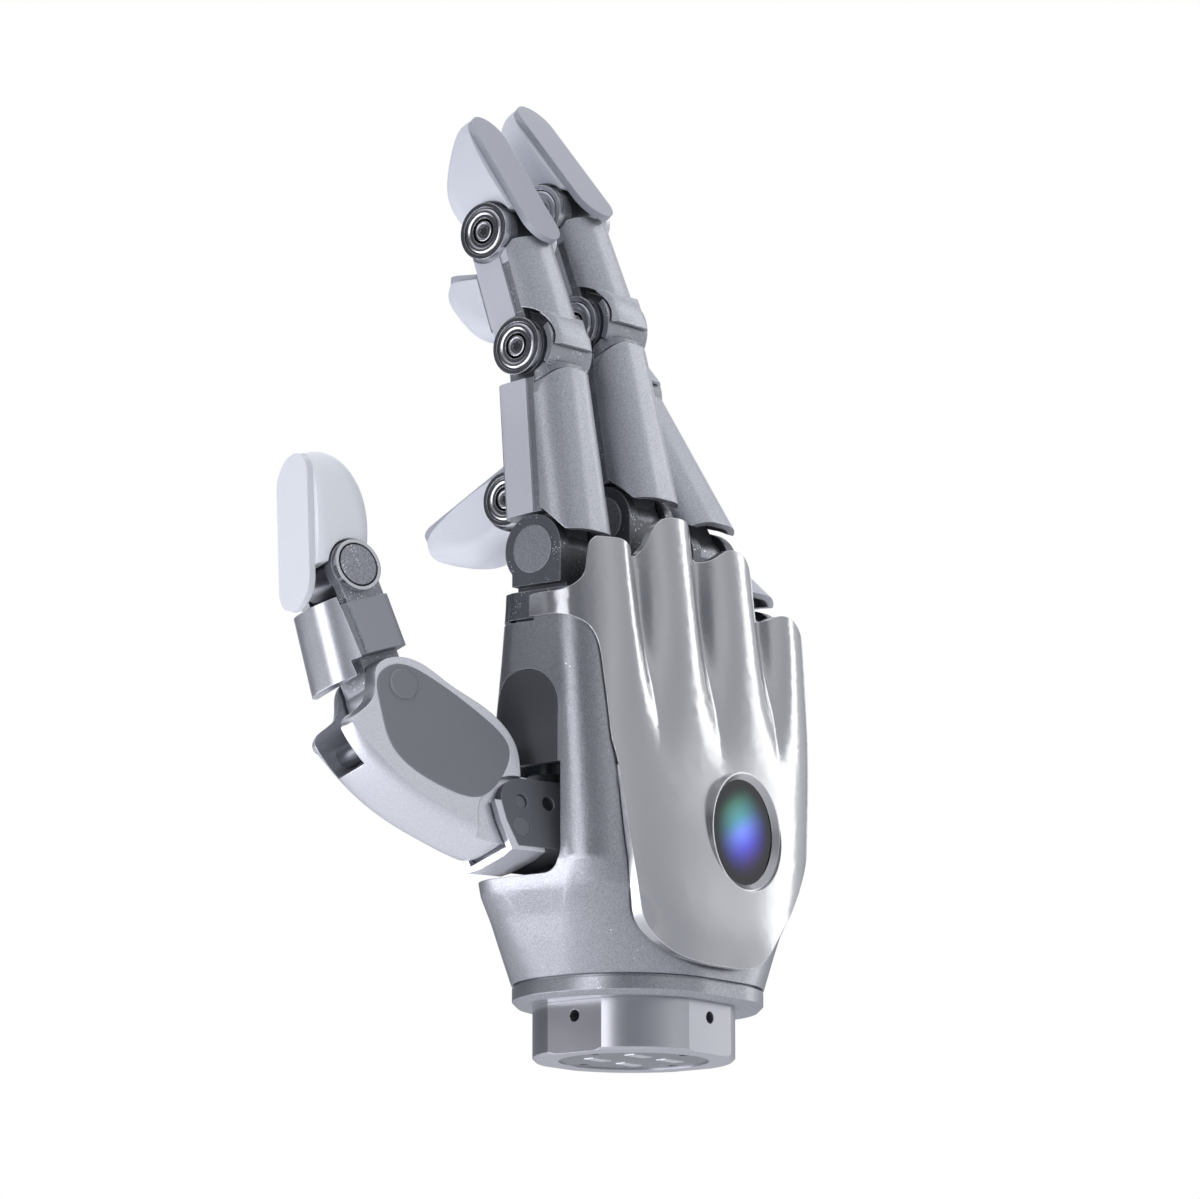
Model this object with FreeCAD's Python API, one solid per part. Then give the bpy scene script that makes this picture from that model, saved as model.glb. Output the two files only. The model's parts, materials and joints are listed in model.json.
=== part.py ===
import FreeCAD, Part
import math
import os

# Dexterous robot hand, a right hand standing on its wrist boss. Millimetres.
# +Z runs from the wrist to the fingertips, -Y is the back of the hand, +Y the palm,
# -X the thumb side and +X the little-finger side. The origin is the middle of the
# boss's lower face, which is the face that a wrist carries.

V = FreeCAD.Vector
os.makedirs("parts", exist_ok=True)

# Wrist
BOSS_R = 20.9
BOSS_FLAT = 19.7
BOSS_H = 10.8
BOSS_BORE_R = 15.5
BOSS_CHAMFER = 0.6
GRUB_R = 1.25
GRUB_Z = 7.6
CONTACT_PLATE_H = 2.0
CONTACT_RECESS = 0.3
PAD_W = 6.0
PAD_L = 2.6
PAD_PCD = 15.0
PLATE_SCREW_R = 1.1
PLATE_SCREW_PCD = 26.0
FLANGE_H = 3.8
FLANGE_HX = 27.0
FLANGE_DX = 1.4
FLANGE_HY = 22.6
FLANGE_CHAMFER = 1.1
SEAM_H = 0.6
SEAM_DEPTH = 1.0

# Palm housing
WALL = 2.0
COVER_T = 1.7
COVER_PROUD = 1.2
SEAT_GAP = 0.3
SEAT_RIM = 4.0
SEAT_Y = -19.2
TOP_SEAM_Z = 86.7
TOP_SEAM_H = 0.6
TOP_SEAM_DEPTH = 0.6
HOUSING_TOP = 93.0
BAY_Z0 = 34.6
BAY_Z1 = 57.0
BAY_X = -9.0
BAY_Y = -10.4
BAY_R = 5.0
PANEL_TOP = 76.8
PANEL_HALF = 8.6
PANEL_Y = -1.0
LENS_R = 10.9
BEZEL_T = 1.5
BEZEL_DEPTH = 5.0
LENS_T = 1.6
WINDOW_X = 6.6
WINDOW_Z = 46.3
WINDOW_Y = -24.2
WINDOW_TURN = 3.0
WINDOW_PROUD = 0.2
BEZEL_SLOPE = 1.1
BEZEL_RIM = 0.3

# Finger links
MCP_TO_PIP = 43.0
PIP_TO_DIP = 27.0
LINK_W0 = 16.8
LINK_W1 = 15.4
BACK0 = 11.6
BACK1 = 8.5
PALM0 = 7.2
PALM1 = 7.0
SHELL_T = 1.5
EAR_R = 6.0
EAR_IN = 4.7
EAR_OUT = 7.0
TONGUE_GAP = 0.25
ARC_GAP = 0.5
PIN_R = 2.0
RUNNING = 0.04
CAP_R = 6.0
CAP_H = 1.5
PAD_PROUD = 0.5
LINK_END = 7.1
PANEL_END = 5.6
PANEL_CORNER = 5.0
NECK_STEP = 0.7
NECK_END = 4.3
KNUCKLE_R = 7.2
KNUCKLE_W = 15.0
KNUCKLE_DISC_R = 4.95
KNUCKLE_DROP = 14.0
KNUCKLE_ROOM = 0.5
KNUCKLE_FOOT_R = 6.3
KNUCKLE_BACK = 7.2
KNUCKLE_PALM = 5.4
PIVOT_PIN_R = 2.2
LUG_T = 2.6
LUG_R = 6.6
LUG_GAP = 0.35
CHASSIS_Z0 = 62.0
CHASSIS_H = 6.0
NAIL_T = 1.4
NAIL_W = 10.4

# Thumb
THUMB_META = 37.0
THUMB_PROX = 26.0
THUMB_W = 16.0
THUMB_EAR_R = 5.6
THUMB_NAIL_W = 11.4
THUMB_CAP_R = 5.4
PROX_HEEL_Z = 4.2
CAP_RIM_R = 4.7
THUMB_AXIS_X = -22.0
THUMB_AXIS_Y = 4.0
THUMB_SHAFT_R = 2.5
COVER_SEAT = 1.4
CHEEK_IN = 6.4
CHEEK_SWEEP = 10.7
ROOT_SWEEP = (-164, -44)
HUB_R = 3.9
LIP_T = 1.4
LIP_END = 5.0
LIP_SLOPE = 3.6
LIP_EDGE = 0.9
LIP_ROOM = 0.3
ROOT_TURNS = (-2, 1, 4, 7, 9)
BRACKET_BACK = 5.2
BRACKET_END = 13.0
BRACKET_SCREWS = (0.6, 7.2)
SCREW_R = 1.5
SCREW_DEPTH = 1.3
POST_R = 5.2

# name, middle X, joint Y, joint Z, then the bend of each joint in the pose shown
FINGERS = (
    ("index", -28.5, -2.0, 101.8, 5.0, 14.0, 0.0),
    ("middle", -8.0, -4.0, 110.5, 9.5, 11.0, 4.0),
    ("ring", 12.6, -4.7, 105.6, 27.5, 12.0, 31.0),
    ("little", 31.8, -2.6, 92.0, 43.2, 36.0, 24.0),
)


def cyl(radius, p0, p1):
    """Solid cylinder between two points."""
    axis = V(*p1) - V(*p0)
    return Part.makeCylinder(radius, axis.Length, V(*p0), axis)


def box(x0, x1, y0, y1, z0, z1):
    return Part.makeBox(x1 - x0, y1 - y0, z1 - z0, V(x0, y0, z0))


def fuse(shapes):
    """One solid from several that overlap."""
    out = shapes[0].fuse(list(shapes[1:]))
    return out.removeSplitter()


def prism(points, direction):
    """Straight-sided prism on a closed outline of points."""
    wire = Part.makePolygon([V(*p) for p in points] + [V(*points[0])])
    return Part.Face(wire).extrude(V(*direction))


def smooth_prism(points, direction):
    """Prism on a closed smooth curve through the points."""
    curve = Part.BSplineCurve()
    curve.interpolate([V(*p) for p in points], PeriodicFlag=True)
    return Part.Face(Part.Wire([curve.toShape()])).extrude(V(*direction))


def corner(centre, radius, start, z):
    """Quarter arc in a level plane, anticlockwise from the start angle."""
    angles = [math.radians(start + k * 45) for k in range(3)]
    pts = [V(centre[0] + radius * math.cos(a), centre[1] + radius * math.sin(a), z) for a in angles]
    return Part.Arc(*pts).toShape()


def section(x0, x1, back, palm, r_back, r_palm, z):
    """Closed level outline: a box with wide corners at the back and its own at the palm."""
    arcs = [
        corner((x1 - r_palm, palm - r_palm), r_palm, 0, z),
        corner((x0 + r_palm, palm - r_palm), r_palm, 90, z),
        corner((x0 + r_back, back + r_back), r_back, 180, z),
        corner((x1 - r_back, back + r_back), r_back, 270, z),
    ]
    edges = []
    for k, arc in enumerate(arcs):
        after = arcs[(k + 1) % 4]
        edges.append(arc)
        edges.append(Part.makeLine(arc.Vertexes[-1].Point, after.Vertexes[0].Point))
    return Part.Wire(edges)


def loft(rows, ruled=False):
    return Part.makeLoft([section(*row) for row in rows], True, ruled)


def grown(rows, by):
    """The same sections, each moved out by a distance."""
    out = []
    for x0, x1, back, palm, rb, rp, z in rows:
        out.append((x0 - by, x1 + by, back - by, palm + by, rb + by, rp + by, z))
    return out


def bend(shape, degrees, at=(0, 0, 0)):
    """Flexion: turns +Z towards +Y about the joint's own X line."""
    out = shape.copy()
    out.rotate(V(*at), V(-1, 0, 0), degrees)
    return out


def save(name, solids):
    """One STEP file per node; a group of alike pieces stays separate solids."""
    if not isinstance(solids, (list, tuple)):
        solids = [solids]
    pieces = []
    for shape in solids:
        pieces.extend(shape.Solids)
    out = pieces[0] if len(pieces) == 1 else Part.makeCompound(pieces)
    out.exportStep("parts/" + name + ".step")


# Palm outline, level by level: x range, back, palm, corner radii, height

HOUSING_Z0 = BOSS_H + FLANGE_H + SEAM_H
PALM_ROWS = (
    (-25.8, 28.6, -22.6, 22.6, 21.0, 21.0, HOUSING_Z0),
    (-32.4, 30.9, -22.2, 19.5, 15.0, 15.0, 27.0),
    (-37.4, 35.0, -21.4, 16.5, 9.5, 9.5, 37.0),
    (-37.5, 37.8, -20.6, 12.6, 9.0, 8.2, 50.0),
    (-37.4, 40.4, -19.0, 9.8, 8.5, 6.6, 68.0),
    (-36.8, 41.2, -16.8, 7.4, 8.0, 5.6, 90.0),
    (-36.4, 41.4, -14.8, 6.4, 7.0, 5.0, 112.0),
)
# Back cover's edge seen square on, as x and z: over the four lobes, then back along the bottom
COVER_TOP = ((-46.0, 103.0), (-36.0, 103.3), (-30.0, 103.5), (-26.6, 103.4), (-24.4, 102.9), (-22.2, 101.8),
             (-20.2, 101.0), (-18.6, 102.4), (-17.3, 105.1), (-16.2, 107.4), (-14.5, 109.2), (-11.9, 109.9),
             (-8.6, 110.1), (-5.6, 109.7), (-3.2, 108.2), (-1.8, 105.8), (-0.6, 103.7), (0.8, 102.8),
             (2.6, 103.2), (4.8, 104.6), (6.6, 105.7), (9.2, 106.0), (12.2, 105.4), (14.8, 103.6),
             (16.8, 100.4), (18.4, 96.9), (19.8, 94.3), (21.2, 93.2), (22.8, 93.7), (24.6, 94.5),
             (26.8, 94.8), (29.8, 94.2), (32.8, 92.9), (36.5, 90.6), (46.0, 84.0))
COVER_LOW = ((46.0, 76.0), (42.5, 66.0), (39.0, 56.0), (34.6, 47.5), (30.0, 40.8), (25.9, 35.6), (22.0, 31.0),
             (18.0, 27.2), (14.6, 23.6), (12.2, 20.8), (9.8, 18.9), (6.1, 17.7), (0.0, 17.3), (-6.0, 17.3),
             (-12.3, 17.6), (-19.0, 19.0), (-23.2, 21.6), (-26.0, 25.3), (-27.8, 30.2), (-29.3, 37.3),
             (-30.4, 48.1), (-31.6, 59.0), (-34.0, 67.0), (-39.0, 76.0), (-46.0, 84.0))
# The cover's edge down the thumb side, seen from that side, as y and z
TAB_TOP = ((-15.8, 103.6), (-14.9, 102.3), (-14.6, 100.2), (-14.5, 97.4), (-14.2, 95.2), (-13.3, 93.8),
           (-11.9, 92.8), (-8.2, 92.1), (-2.6, 91.7))
TAB_LOW = ((-2.6, 87.4), (-7.0, 87.4), (-11.0, 87.1), (-13.4, 86.3), (-15.2, 85.0), (-16.4, 83.0), (-17.2, 80.0),
           (-17.7, 76.5), (-18.2, 72.3), (-18.7, 68.0), (-19.5, 61.0), (-21.0, 54.0), (-24.0, 47.0),
           (-30.0, 40.0))
FAR_EDGE = ((-12.8, 125.0), (-12.8, 90.0), (-13.0, 80.0), (-14.6, 70.0), (-17.4, 58.0), (-19.4, 46.0),
            (-20.4, 30.0), (-20.6, 0.0))
RIDGE_X = (-30.5, -10.0, 9.6, 30.8)
RIDGE_RISE = 5.0
RIDGE_SINK = 1.8
RIDGE_POWER = 2.4
RIDGE_EDGE = 15.0
RIDGE_START = 56.0
RIDGE_FULL = 97.0
RIDGE_DRIFT = 0.04
CROWN = 2.2


def palm_level(z):
    """Palm outline at any height: each value runs on a smooth curve through the rows."""
    rows = PALM_ROWS
    k = 0
    while k < len(rows) - 2 and rows[k + 1][6] < z:
        k += 1
    z0, z1 = rows[k][6], rows[k + 1][6]
    h = z1 - z0
    t = max(0.0, min(1.0, (z - z0) / h))
    out = []
    for i in range(6):
        slopes = [(rows[j + 1][i] - rows[j][i]) / (rows[j + 1][6] - rows[j][6]) for j in range(len(rows) - 1)]
        m = []
        for j in (k, k + 1):
            before = slopes[max(j - 1, 0)]
            after = slopes[min(j, len(slopes) - 1)]
            m.append(0.0 if before * after <= 0 else 2 * before * after / (before + after))
        v0, v1 = rows[k][i], rows[k + 1][i]
        a = (2 * t ** 3 - 3 * t ** 2 + 1) * v0 + (-2 * t ** 3 + 3 * t ** 2) * v1
        out.append(a + (t ** 3 - 2 * t ** 2 + t) * h * m[0] + (t ** 3 - t ** 2) * h * m[1])
    return out


PALM_LEVELS = (22.0, 27.0, 32.0, 37.0, 43.0, 50.0, 59.0, 68.0, 79.0, 90.0, 101.0, 112.0)


def palm_form(inset=0.0, floor=0.0):
    """Solid palm, moved in by a wall and raised off the flange by a floor."""
    rows = []
    for z in (HOUSING_Z0 + floor,) + PALM_LEVELS:
        x0, x1, back, palm, rb, rp = palm_level(z)
        rows.append((x0 + inset, x1 - inset, back + inset, palm - inset, rb - inset, rp - inset, z))
    return loft(rows, True)


def ridge(x, z):
    """Height of the four broad ribs, which meet in narrow valleys and fade out above the window."""
    t = max(0.0, min(1.0, (z - RIDGE_START) / (RIDGE_FULL - RIDGE_START)))
    centres = [c + RIDGE_DRIFT * (100.0 - z) for c in RIDGE_X]
    near = min(centres, key=lambda c: abs(x - c))
    k = centres.index(near)
    if x < near:
        half = (near - centres[k - 1]) / 2 if k > 0 else RIDGE_EDGE
    else:
        half = (centres[k + 1] - near) / 2 if k < 3 else RIDGE_EDGE
    fall = min(1.0, abs(x - near) / half) ** RIDGE_POWER
    return t * t * (3 - 2 * t) * (RIDGE_RISE * (1 - fall) - RIDGE_SINK)


COVER_POWER = 0.42
COVER_LEVELS = 14
SIDE_TURNS = (0.0, 0.006, 0.02, 0.045, 0.08, 0.12, 0.165)
BACK_STEPS = 62
BACK_TURN = 0.21


def cover_turns():
    """Where round the back the surface is worked out: closer together at its two sides."""
    back = [BACK_TURN + (math.pi - 2 * BACK_TURN) * k / BACK_STEPS for k in range(BACK_STEPS + 1)]
    return list(SIDE_TURNS) + back + [math.pi - t for t in reversed(SIDE_TURNS)]


def cover_point(turn, z, inset):
    """Point on the level curve round the back of the hand, with the ribs on it."""
    x0, x1, back = palm_level(z)[:3]
    grow = COVER_PROUD - inset
    across = -math.cos(turn)
    x = (x0 + x1) / 2 + ((x1 - x0) / 2 + grow) * across
    depth = math.sqrt(max(0.0, 1 - abs(across) ** (2 / COVER_POWER)))
    crown = CROWN * max(0.0, min(1.0, (HOUSING_TOP - z) / (HOUSING_TOP - WINDOW_Z))) * depth ** 2
    y = (back - grow) * depth ** COVER_POWER - crown - ridge(x, z) * depth ** 3
    return V(x, y, z)


def cover_solid(inset0, inset1):
    """Shell between two depths under the ribbed surface."""
    faces = []
    low, high = HOUSING_Z0 - 1.0, 112.0
    for inset in (inset0, inset1):
        grid = []
        for j in range(COVER_LEVELS):
            z = low + (high - low) * j / (COVER_LEVELS - 1)
            grid.append([cover_point(turn, z, inset) for turn in cover_turns()])
        surface = Part.BSplineSurface()
        surface.interpolate(grid)
        faces.append(surface)
    outer, inner = faces
    shells = [outer.toShape(), inner.toShape()]
    bounds = [s.bounds() for s in faces]
    for side in range(4):
        edges = []
        for s, (u0, u1, v0, v1) in zip(faces, bounds):
            iso = (s.uIso(u0), s.uIso(u1), s.vIso(v0), s.vIso(v1))[side]
            edges.append(iso.toShape())
        shells.append(Part.makeRuledSurface(*edges))
    solid = Part.Solid(Part.makeShell(shells))
    if solid.Volume < 0:
        solid.reverse()
    return solid


def cover_outline(grow=0.0):
    """Prism over the cover's edge, larger or smaller by a distance at the edge."""
    middle = 62.0
    pts = []
    for x, z in COVER_TOP + COVER_LOW:
        pts.append((x * (1 + grow / 38), -60.0, middle + (z - middle) * (1 + grow / 45)))
    return smooth_prism(pts, (0, 58.0, 0))


def smooth_edge(points, x):
    curve = Part.BSplineCurve()
    curve.interpolate([V(x, y, z) for y, z in points])
    return curve.toShape()


def side_prism(edges, corners, x0, x1):
    """Prism along X on smooth edges that are joined, and closed through corners, by straight lines."""
    parts = list(edges)
    ends = [(e.valueAt(e.FirstParameter), e.valueAt(e.LastParameter)) for e in edges]
    for (_, last), (first, _) in zip(ends, ends[1:]):
        parts.append(Part.makeLine(last, first))
    path = [ends[-1][1]] + [V(x0, y, z) for y, z in corners] + [ends[0][0]]
    for a, b in zip(path, path[1:]):
        parts.append(Part.makeLine(a, b))
    wire = Part.Wire(Part.__sortEdges__(parts))
    return Part.Face(wire).extrude(V(x1 - x0, 0, 0))


def cover_side_cut():
    """The sides of the cover stop at the back corner, except for a tab on the thumb side."""
    near = side_prism([smooth_edge(TAB_TOP, -80), smooth_edge(TAB_LOW, -80)],
                      ((-30.0, 0.0), (-70.0, 0.0), (-70.0, 125.0), (-15.8, 125.0)), -80, 0)
    far = side_prism([smooth_edge(FAR_EDGE, 0)], ((-70.0, 0.0), (-70.0, 125.0)), 0, 80)
    low = box(-80, 0, -70, -20.0, 0, 56.0)
    return near.fuse(far).fuse(low)


def dorsal_cover():
    return cover_solid(0.0, COVER_T).common(cover_outline()).common(cover_side_cut())


def window_axis():
    """Centre and outward direction of the round window in the back."""
    turn = math.radians(WINDOW_TURN)
    return V(WINDOW_X, WINDOW_Y, WINDOW_Z), V(math.sin(turn), -math.cos(turn), 0)


def along(origin, direction, d):
    return tuple(origin + direction * d)


def window_parts():
    """Bezel tube, sloped in from its thin rim, and the dark lens seated in it."""
    c, out = window_axis()
    foot = WINDOW_PROUD - BEZEL_SLOPE
    tube = cyl(LENS_R + BEZEL_T, along(c, out, WINDOW_PROUD - BEZEL_DEPTH), along(c, out, WINDOW_PROUD))
    bezel = tube.cut(cyl(LENS_R, along(c, out, -9), along(c, out, 9)))
    slope = Part.makeCone(LENS_R, LENS_R + BEZEL_T - BEZEL_RIM, BEZEL_SLOPE, V(*along(c, out, foot)), out)
    bezel = bezel.cut(slope)
    lens = cyl(LENS_R, along(c, out, foot - LENS_T), along(c, out, foot))
    return bezel, lens


def window_hole():
    c, out = window_axis()
    return cyl(LENS_R + BEZEL_T, along(c, out, -12), along(c, out, 12))


def bay_cut():
    """The open bay at the thumb side, running out through the palm side."""
    block = box(-60, BAY_X, BAY_Y, 60, BAY_Z0, BAY_Z1)
    low = cyl(BAY_R, (-60, BAY_Y + BAY_R, BAY_Z0 + BAY_R), (BAY_X, BAY_Y + BAY_R, BAY_Z0 + BAY_R))
    square = box(-60, BAY_X, BAY_Y, BAY_Y + BAY_R, BAY_Z0, BAY_Z0 + BAY_R)
    return block.cut(square).fuse(low)


def panel_prism(gap):
    """Round-topped panel above the bay."""
    r = PANEL_HALF - gap
    y0, y1 = PANEL_Y - r, PANEL_Y + r
    zc = PANEL_TOP - PANEL_HALF
    body = box(-60, BAY_X, y0, y1, BAY_Z1, zc)
    return body.fuse(cyl(r, (-60, PANEL_Y, zc), (BAY_X, PANEL_Y, zc)))


def palmar_prism(gap):
    """Rounded plate on the palm side."""
    pts = ((-26.0, 60.0), (-26.0, 84.0), (-14.0, 90.0), (0.0, 91.5), (14.0, 89.0), (28.0, 76.0),
           (29.0, 60.0), (24.0, 34.0), (12.0, 27.0), (-4.0, 29.0), (-7.5, 44.0), (-8.5, 57.5))
    mid = (2.0, 58.0)
    inner = []
    for x, z in pts:
        d = math.hypot(x - mid[0], z - mid[1])
        inner.append((mid[0] + (x - mid[0]) * (1 - gap / d), 5.5, mid[1] + (z - mid[1]) * (1 - gap / d)))
    return smooth_prism(inner, (0, 40, 0))


def top_cut():
    """Mouth of the housing, stepped down towards the little finger."""
    pts = ((-70, HOUSING_TOP), (-18, HOUSING_TOP), (-9, 98.5), (3, 97.0), (13, 95.0), (19.4, 93.2),
           (23.0, 82.4), (70, 82.0), (70, 140), (-70, 140))
    return prism([(x, -70, z) for x, z in pts], (0, 140, 0))


def palm_shell():
    """The whole hollow palm, before it is split into housing, panel and palm plate."""
    return palm_form().cut(palm_form(WALL, WALL)).cut(top_cut())


def palm_parts():
    shell = palm_shell()
    panel = shell.common(panel_prism(SEAT_GAP / 2)).common(box(-60, -30, -60, 60, 0, 200))
    plate = shell.common(palmar_prism(SEAT_GAP))
    seat = cover_outline(-SEAT_RIM).common(box(-90, 90, -60, SEAT_Y, 0, 200))
    room = cover_solid(-1.0, COVER_T + 0.02).common(cover_outline(0.3)).common(cover_side_cut())
    housing = shell.cut(seat)
    housing = housing.cut(room)
    housing = housing.cut(panel_prism(0).common(box(-60, -30, -60, 60, 0, 200)))
    housing = housing.cut(palmar_prism(0)).cut(bay_cut()).cut(window_hole())
    _, x, y, z, _, _, _ = FINGERS[0]
    side = x - KNUCKLE_W / 2 - KNUCKLE_ROOM
    foot_z = z - KNUCKLE_DROP - 3
    housing = housing.cut(box(side, x, y - KNUCKLE_BACK, y + KNUCKLE_PALM + KNUCKLE_ROOM, foot_z, 140))
    seam = palm_form(-1.0).cut(palm_form(TOP_SEAM_DEPTH))
    seam = seam.common(box(-60, -30, -3.0, 8.2, TOP_SEAM_Z, TOP_SEAM_Z + TOP_SEAM_H))
    housing = housing.cut(seam)
    return housing, panel, plate.cut(housing)


def knuckle(x, y, z):
    """Fork that carries one finger and turns on a pin along Y. Returns fork and its place."""
    half = KNUCKLE_W / 2
    cheek = cyl(KNUCKLE_R, (-half, 0, 0), (half, 0, 0))
    foot_z = -KNUCKLE_DROP
    stem = box(-half, half, -KNUCKLE_BACK, KNUCKLE_PALM, foot_z + KNUCKLE_FOOT_R + 0.3, 0)
    neck = box(-KNUCKLE_FOOT_R + 0.8, KNUCKLE_FOOT_R - 0.8, -KNUCKLE_BACK, KNUCKLE_PALM, foot_z, 0)
    foot = cyl(KNUCKLE_FOOT_R, (0, -KNUCKLE_BACK, foot_z), (0, KNUCKLE_PALM, foot_z))
    shape = fuse([cheek, stem, neck, foot])
    slot_r = EAR_R + ARC_GAP
    slot = cyl(slot_r, (-EAR_IN, 0, 0), (EAR_IN, 0, 0)).fuse(box(-EAR_IN, EAR_IN, -20, 20, 0, 20))
    slot = slot.fuse(box(-EAR_IN, EAR_IN, 0, 20, -slot_r, 20))
    shape = shape.cut(slot)
    shape = shape.cut(cyl(PIN_R, (-half, 0, 0), (half, 0, 0)))
    for side in (-1, 1):
        disc = cyl(KNUCKLE_DISC_R, (side * (half - 0.6), 0, 0), (side * (half + 1), 0, 0))
        shape = shape.cut(disc)
    shape = shape.cut(cyl(PIVOT_PIN_R + RUNNING, (0, -30, foot_z), (0, 30, foot_z)))
    shape.translate(V(x, y, z))
    return shape


def knuckle_pin(x, y, z):
    """Headed pin through fork and tongue; its two flat heads are the round side discs."""
    half = KNUCKLE_W / 2
    shaft = cyl(PIN_R, (-half, 0, 0), (half, 0, 0))
    heads = [cyl(KNUCKLE_DISC_R, (s * (half - 0.6), 0, 0), (s * (half + 0.25), 0, 0)) for s in (-1, 1)]
    pin = fuse([shaft] + heads)
    pin.translate(V(x, y, z))
    return pin


def link_rows(z0, z1, w0, w1, back0, back1, palm0, palm1, rb=6.4, rp=2.8):
    return ((-w0 / 2, w0 / 2, -back0, palm0, rb, rp, z0), (-w1 / 2, w1 / 2, -back1, palm1, rb, rp, z1))


SPLIT_Y = -3.2


def back_shell(rows, z0, z1, wall=SHELL_T):
    """Hollow back half of a link between two heights."""
    outer = loft(rows, True)
    inner = loft(grown(rows, -wall), True)
    half = box(-20, 20, -40, SPLIT_Y, z0, z1)
    return outer.cut(inner).common(half)


def tongue(z, toward):
    """Flat middle ear on an axis, reaching toward the link's body."""
    half = EAR_IN - TONGUE_GAP
    r = EAR_R - 0.2
    reach = toward * (LINK_END + 2.0)
    lo, hi = min(z, z + reach), max(z, z + reach)
    ear = cyl(r, (-half, 0, z), (half, 0, z)).fuse(box(-half, half, -r + 0.6, r - 0.6, lo, hi))
    return ear.cut(cyl(PIN_R + RUNNING, (-20, 0, z), (20, 0, z)))


def side_pads(rows, z0, z1, arcs, proud=PAD_PROUD):
    """Raised side plates, cut round the joint rings by arcs."""
    outer = loft(rows, True)
    core = loft(grown(rows, -proud), True)
    band = box(-20, 20, SPLIT_Y + 1.9, 40, z0, z1)
    pads = outer.cut(core).common(band)
    for z, r in arcs:
        pads = pads.cut(cyl(r, (-20, 0, z), (20, 0, z)))
    return pads


def round_top(top, half, radius):
    """Tall prism with two round upper corners, seen from the back."""
    out = box(-20, 20, -40, SPLIT_Y, -20, top - radius)
    out = out.fuse(box(radius - half, half - radius, -40, SPLIT_Y, -20, top))
    for s in (-1, 1):
        at = s * (half - radius)
        out = out.fuse(cyl(radius, (at, -40, top - radius), (at, SPLIT_Y, top - radius)))
    return out


def proximal_parts(length):
    """Frame with a tongue at each end, and the long back shell."""
    rows = link_rows(0.0, length, LINK_W0, LINK_W1, BACK0, BACK1, PALM0, PALM1)
    top = length - LINK_END
    core_rows = grown(rows, -PAD_PROUD)
    core = loft(core_rows, True).common(box(-20, 20, SPLIT_Y + 0.05, 40, LINK_END + 0.4, top))
    spine = loft(grown(rows, -SHELL_T - 0.2), True)
    spine = spine.common(box(-20, 20, -40, SPLIT_Y + 0.2, LINK_END + 0.8, top))
    pads = side_pads(rows, LINK_END + 0.4, top, ((length, EAR_R + ARC_GAP + 0.6),))
    guard = cyl(8.0, (-6.6, 0, length), (6.6, 0, length)).cut(cyl(6.7, (-20, 0, length), (20, 0, length)))
    wedge = prism([(-20, 0, length), (-20, -30, length - 22), (-20, -30, length + 16)], (40, 0, 0))
    panel_top = length - PANEL_END
    root = loft(grown(rows, -NECK_STEP), True)
    root = root.common(box(-20, 20, -20, SPLIT_Y, panel_top - PANEL_CORNER, length - NECK_END))
    root = root.cut(round_top(panel_top + 0.1, LINK_W1 / 2 + 0.1, PANEL_CORNER))
    guard = guard.common(wedge).fuse(root.cut(cyl(6.7, (-20, 0, length), (20, 0, length))))
    frame = fuse([core, spine, pads, tongue(0, 1), tongue(length, -1)])
    shell = back_shell(rows, 0.5, length - 3.2).common(round_top(panel_top, LINK_W1 / 2, PANEL_CORNER))
    shell = shell.cut(cyl(KNUCKLE_R + ARC_GAP, (-20, 0, 0), (20, 0, 0)))
    shell = shell.cut(cyl(8.35, (-20, 0, length), (20, 0, length)))
    wave = prism([(-20, SPLIT_Y, 0), (-20, SPLIT_Y, 8.2), (-20, -6.0, 5.6), (-20, -8.6, 2.6), (-20, -20, 2.0),
                  (-20, -20, 0)], (40, 0, 0))
    shell = shell.cut(wave)
    return frame.fuse(guard).removeSplitter(), shell


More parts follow.
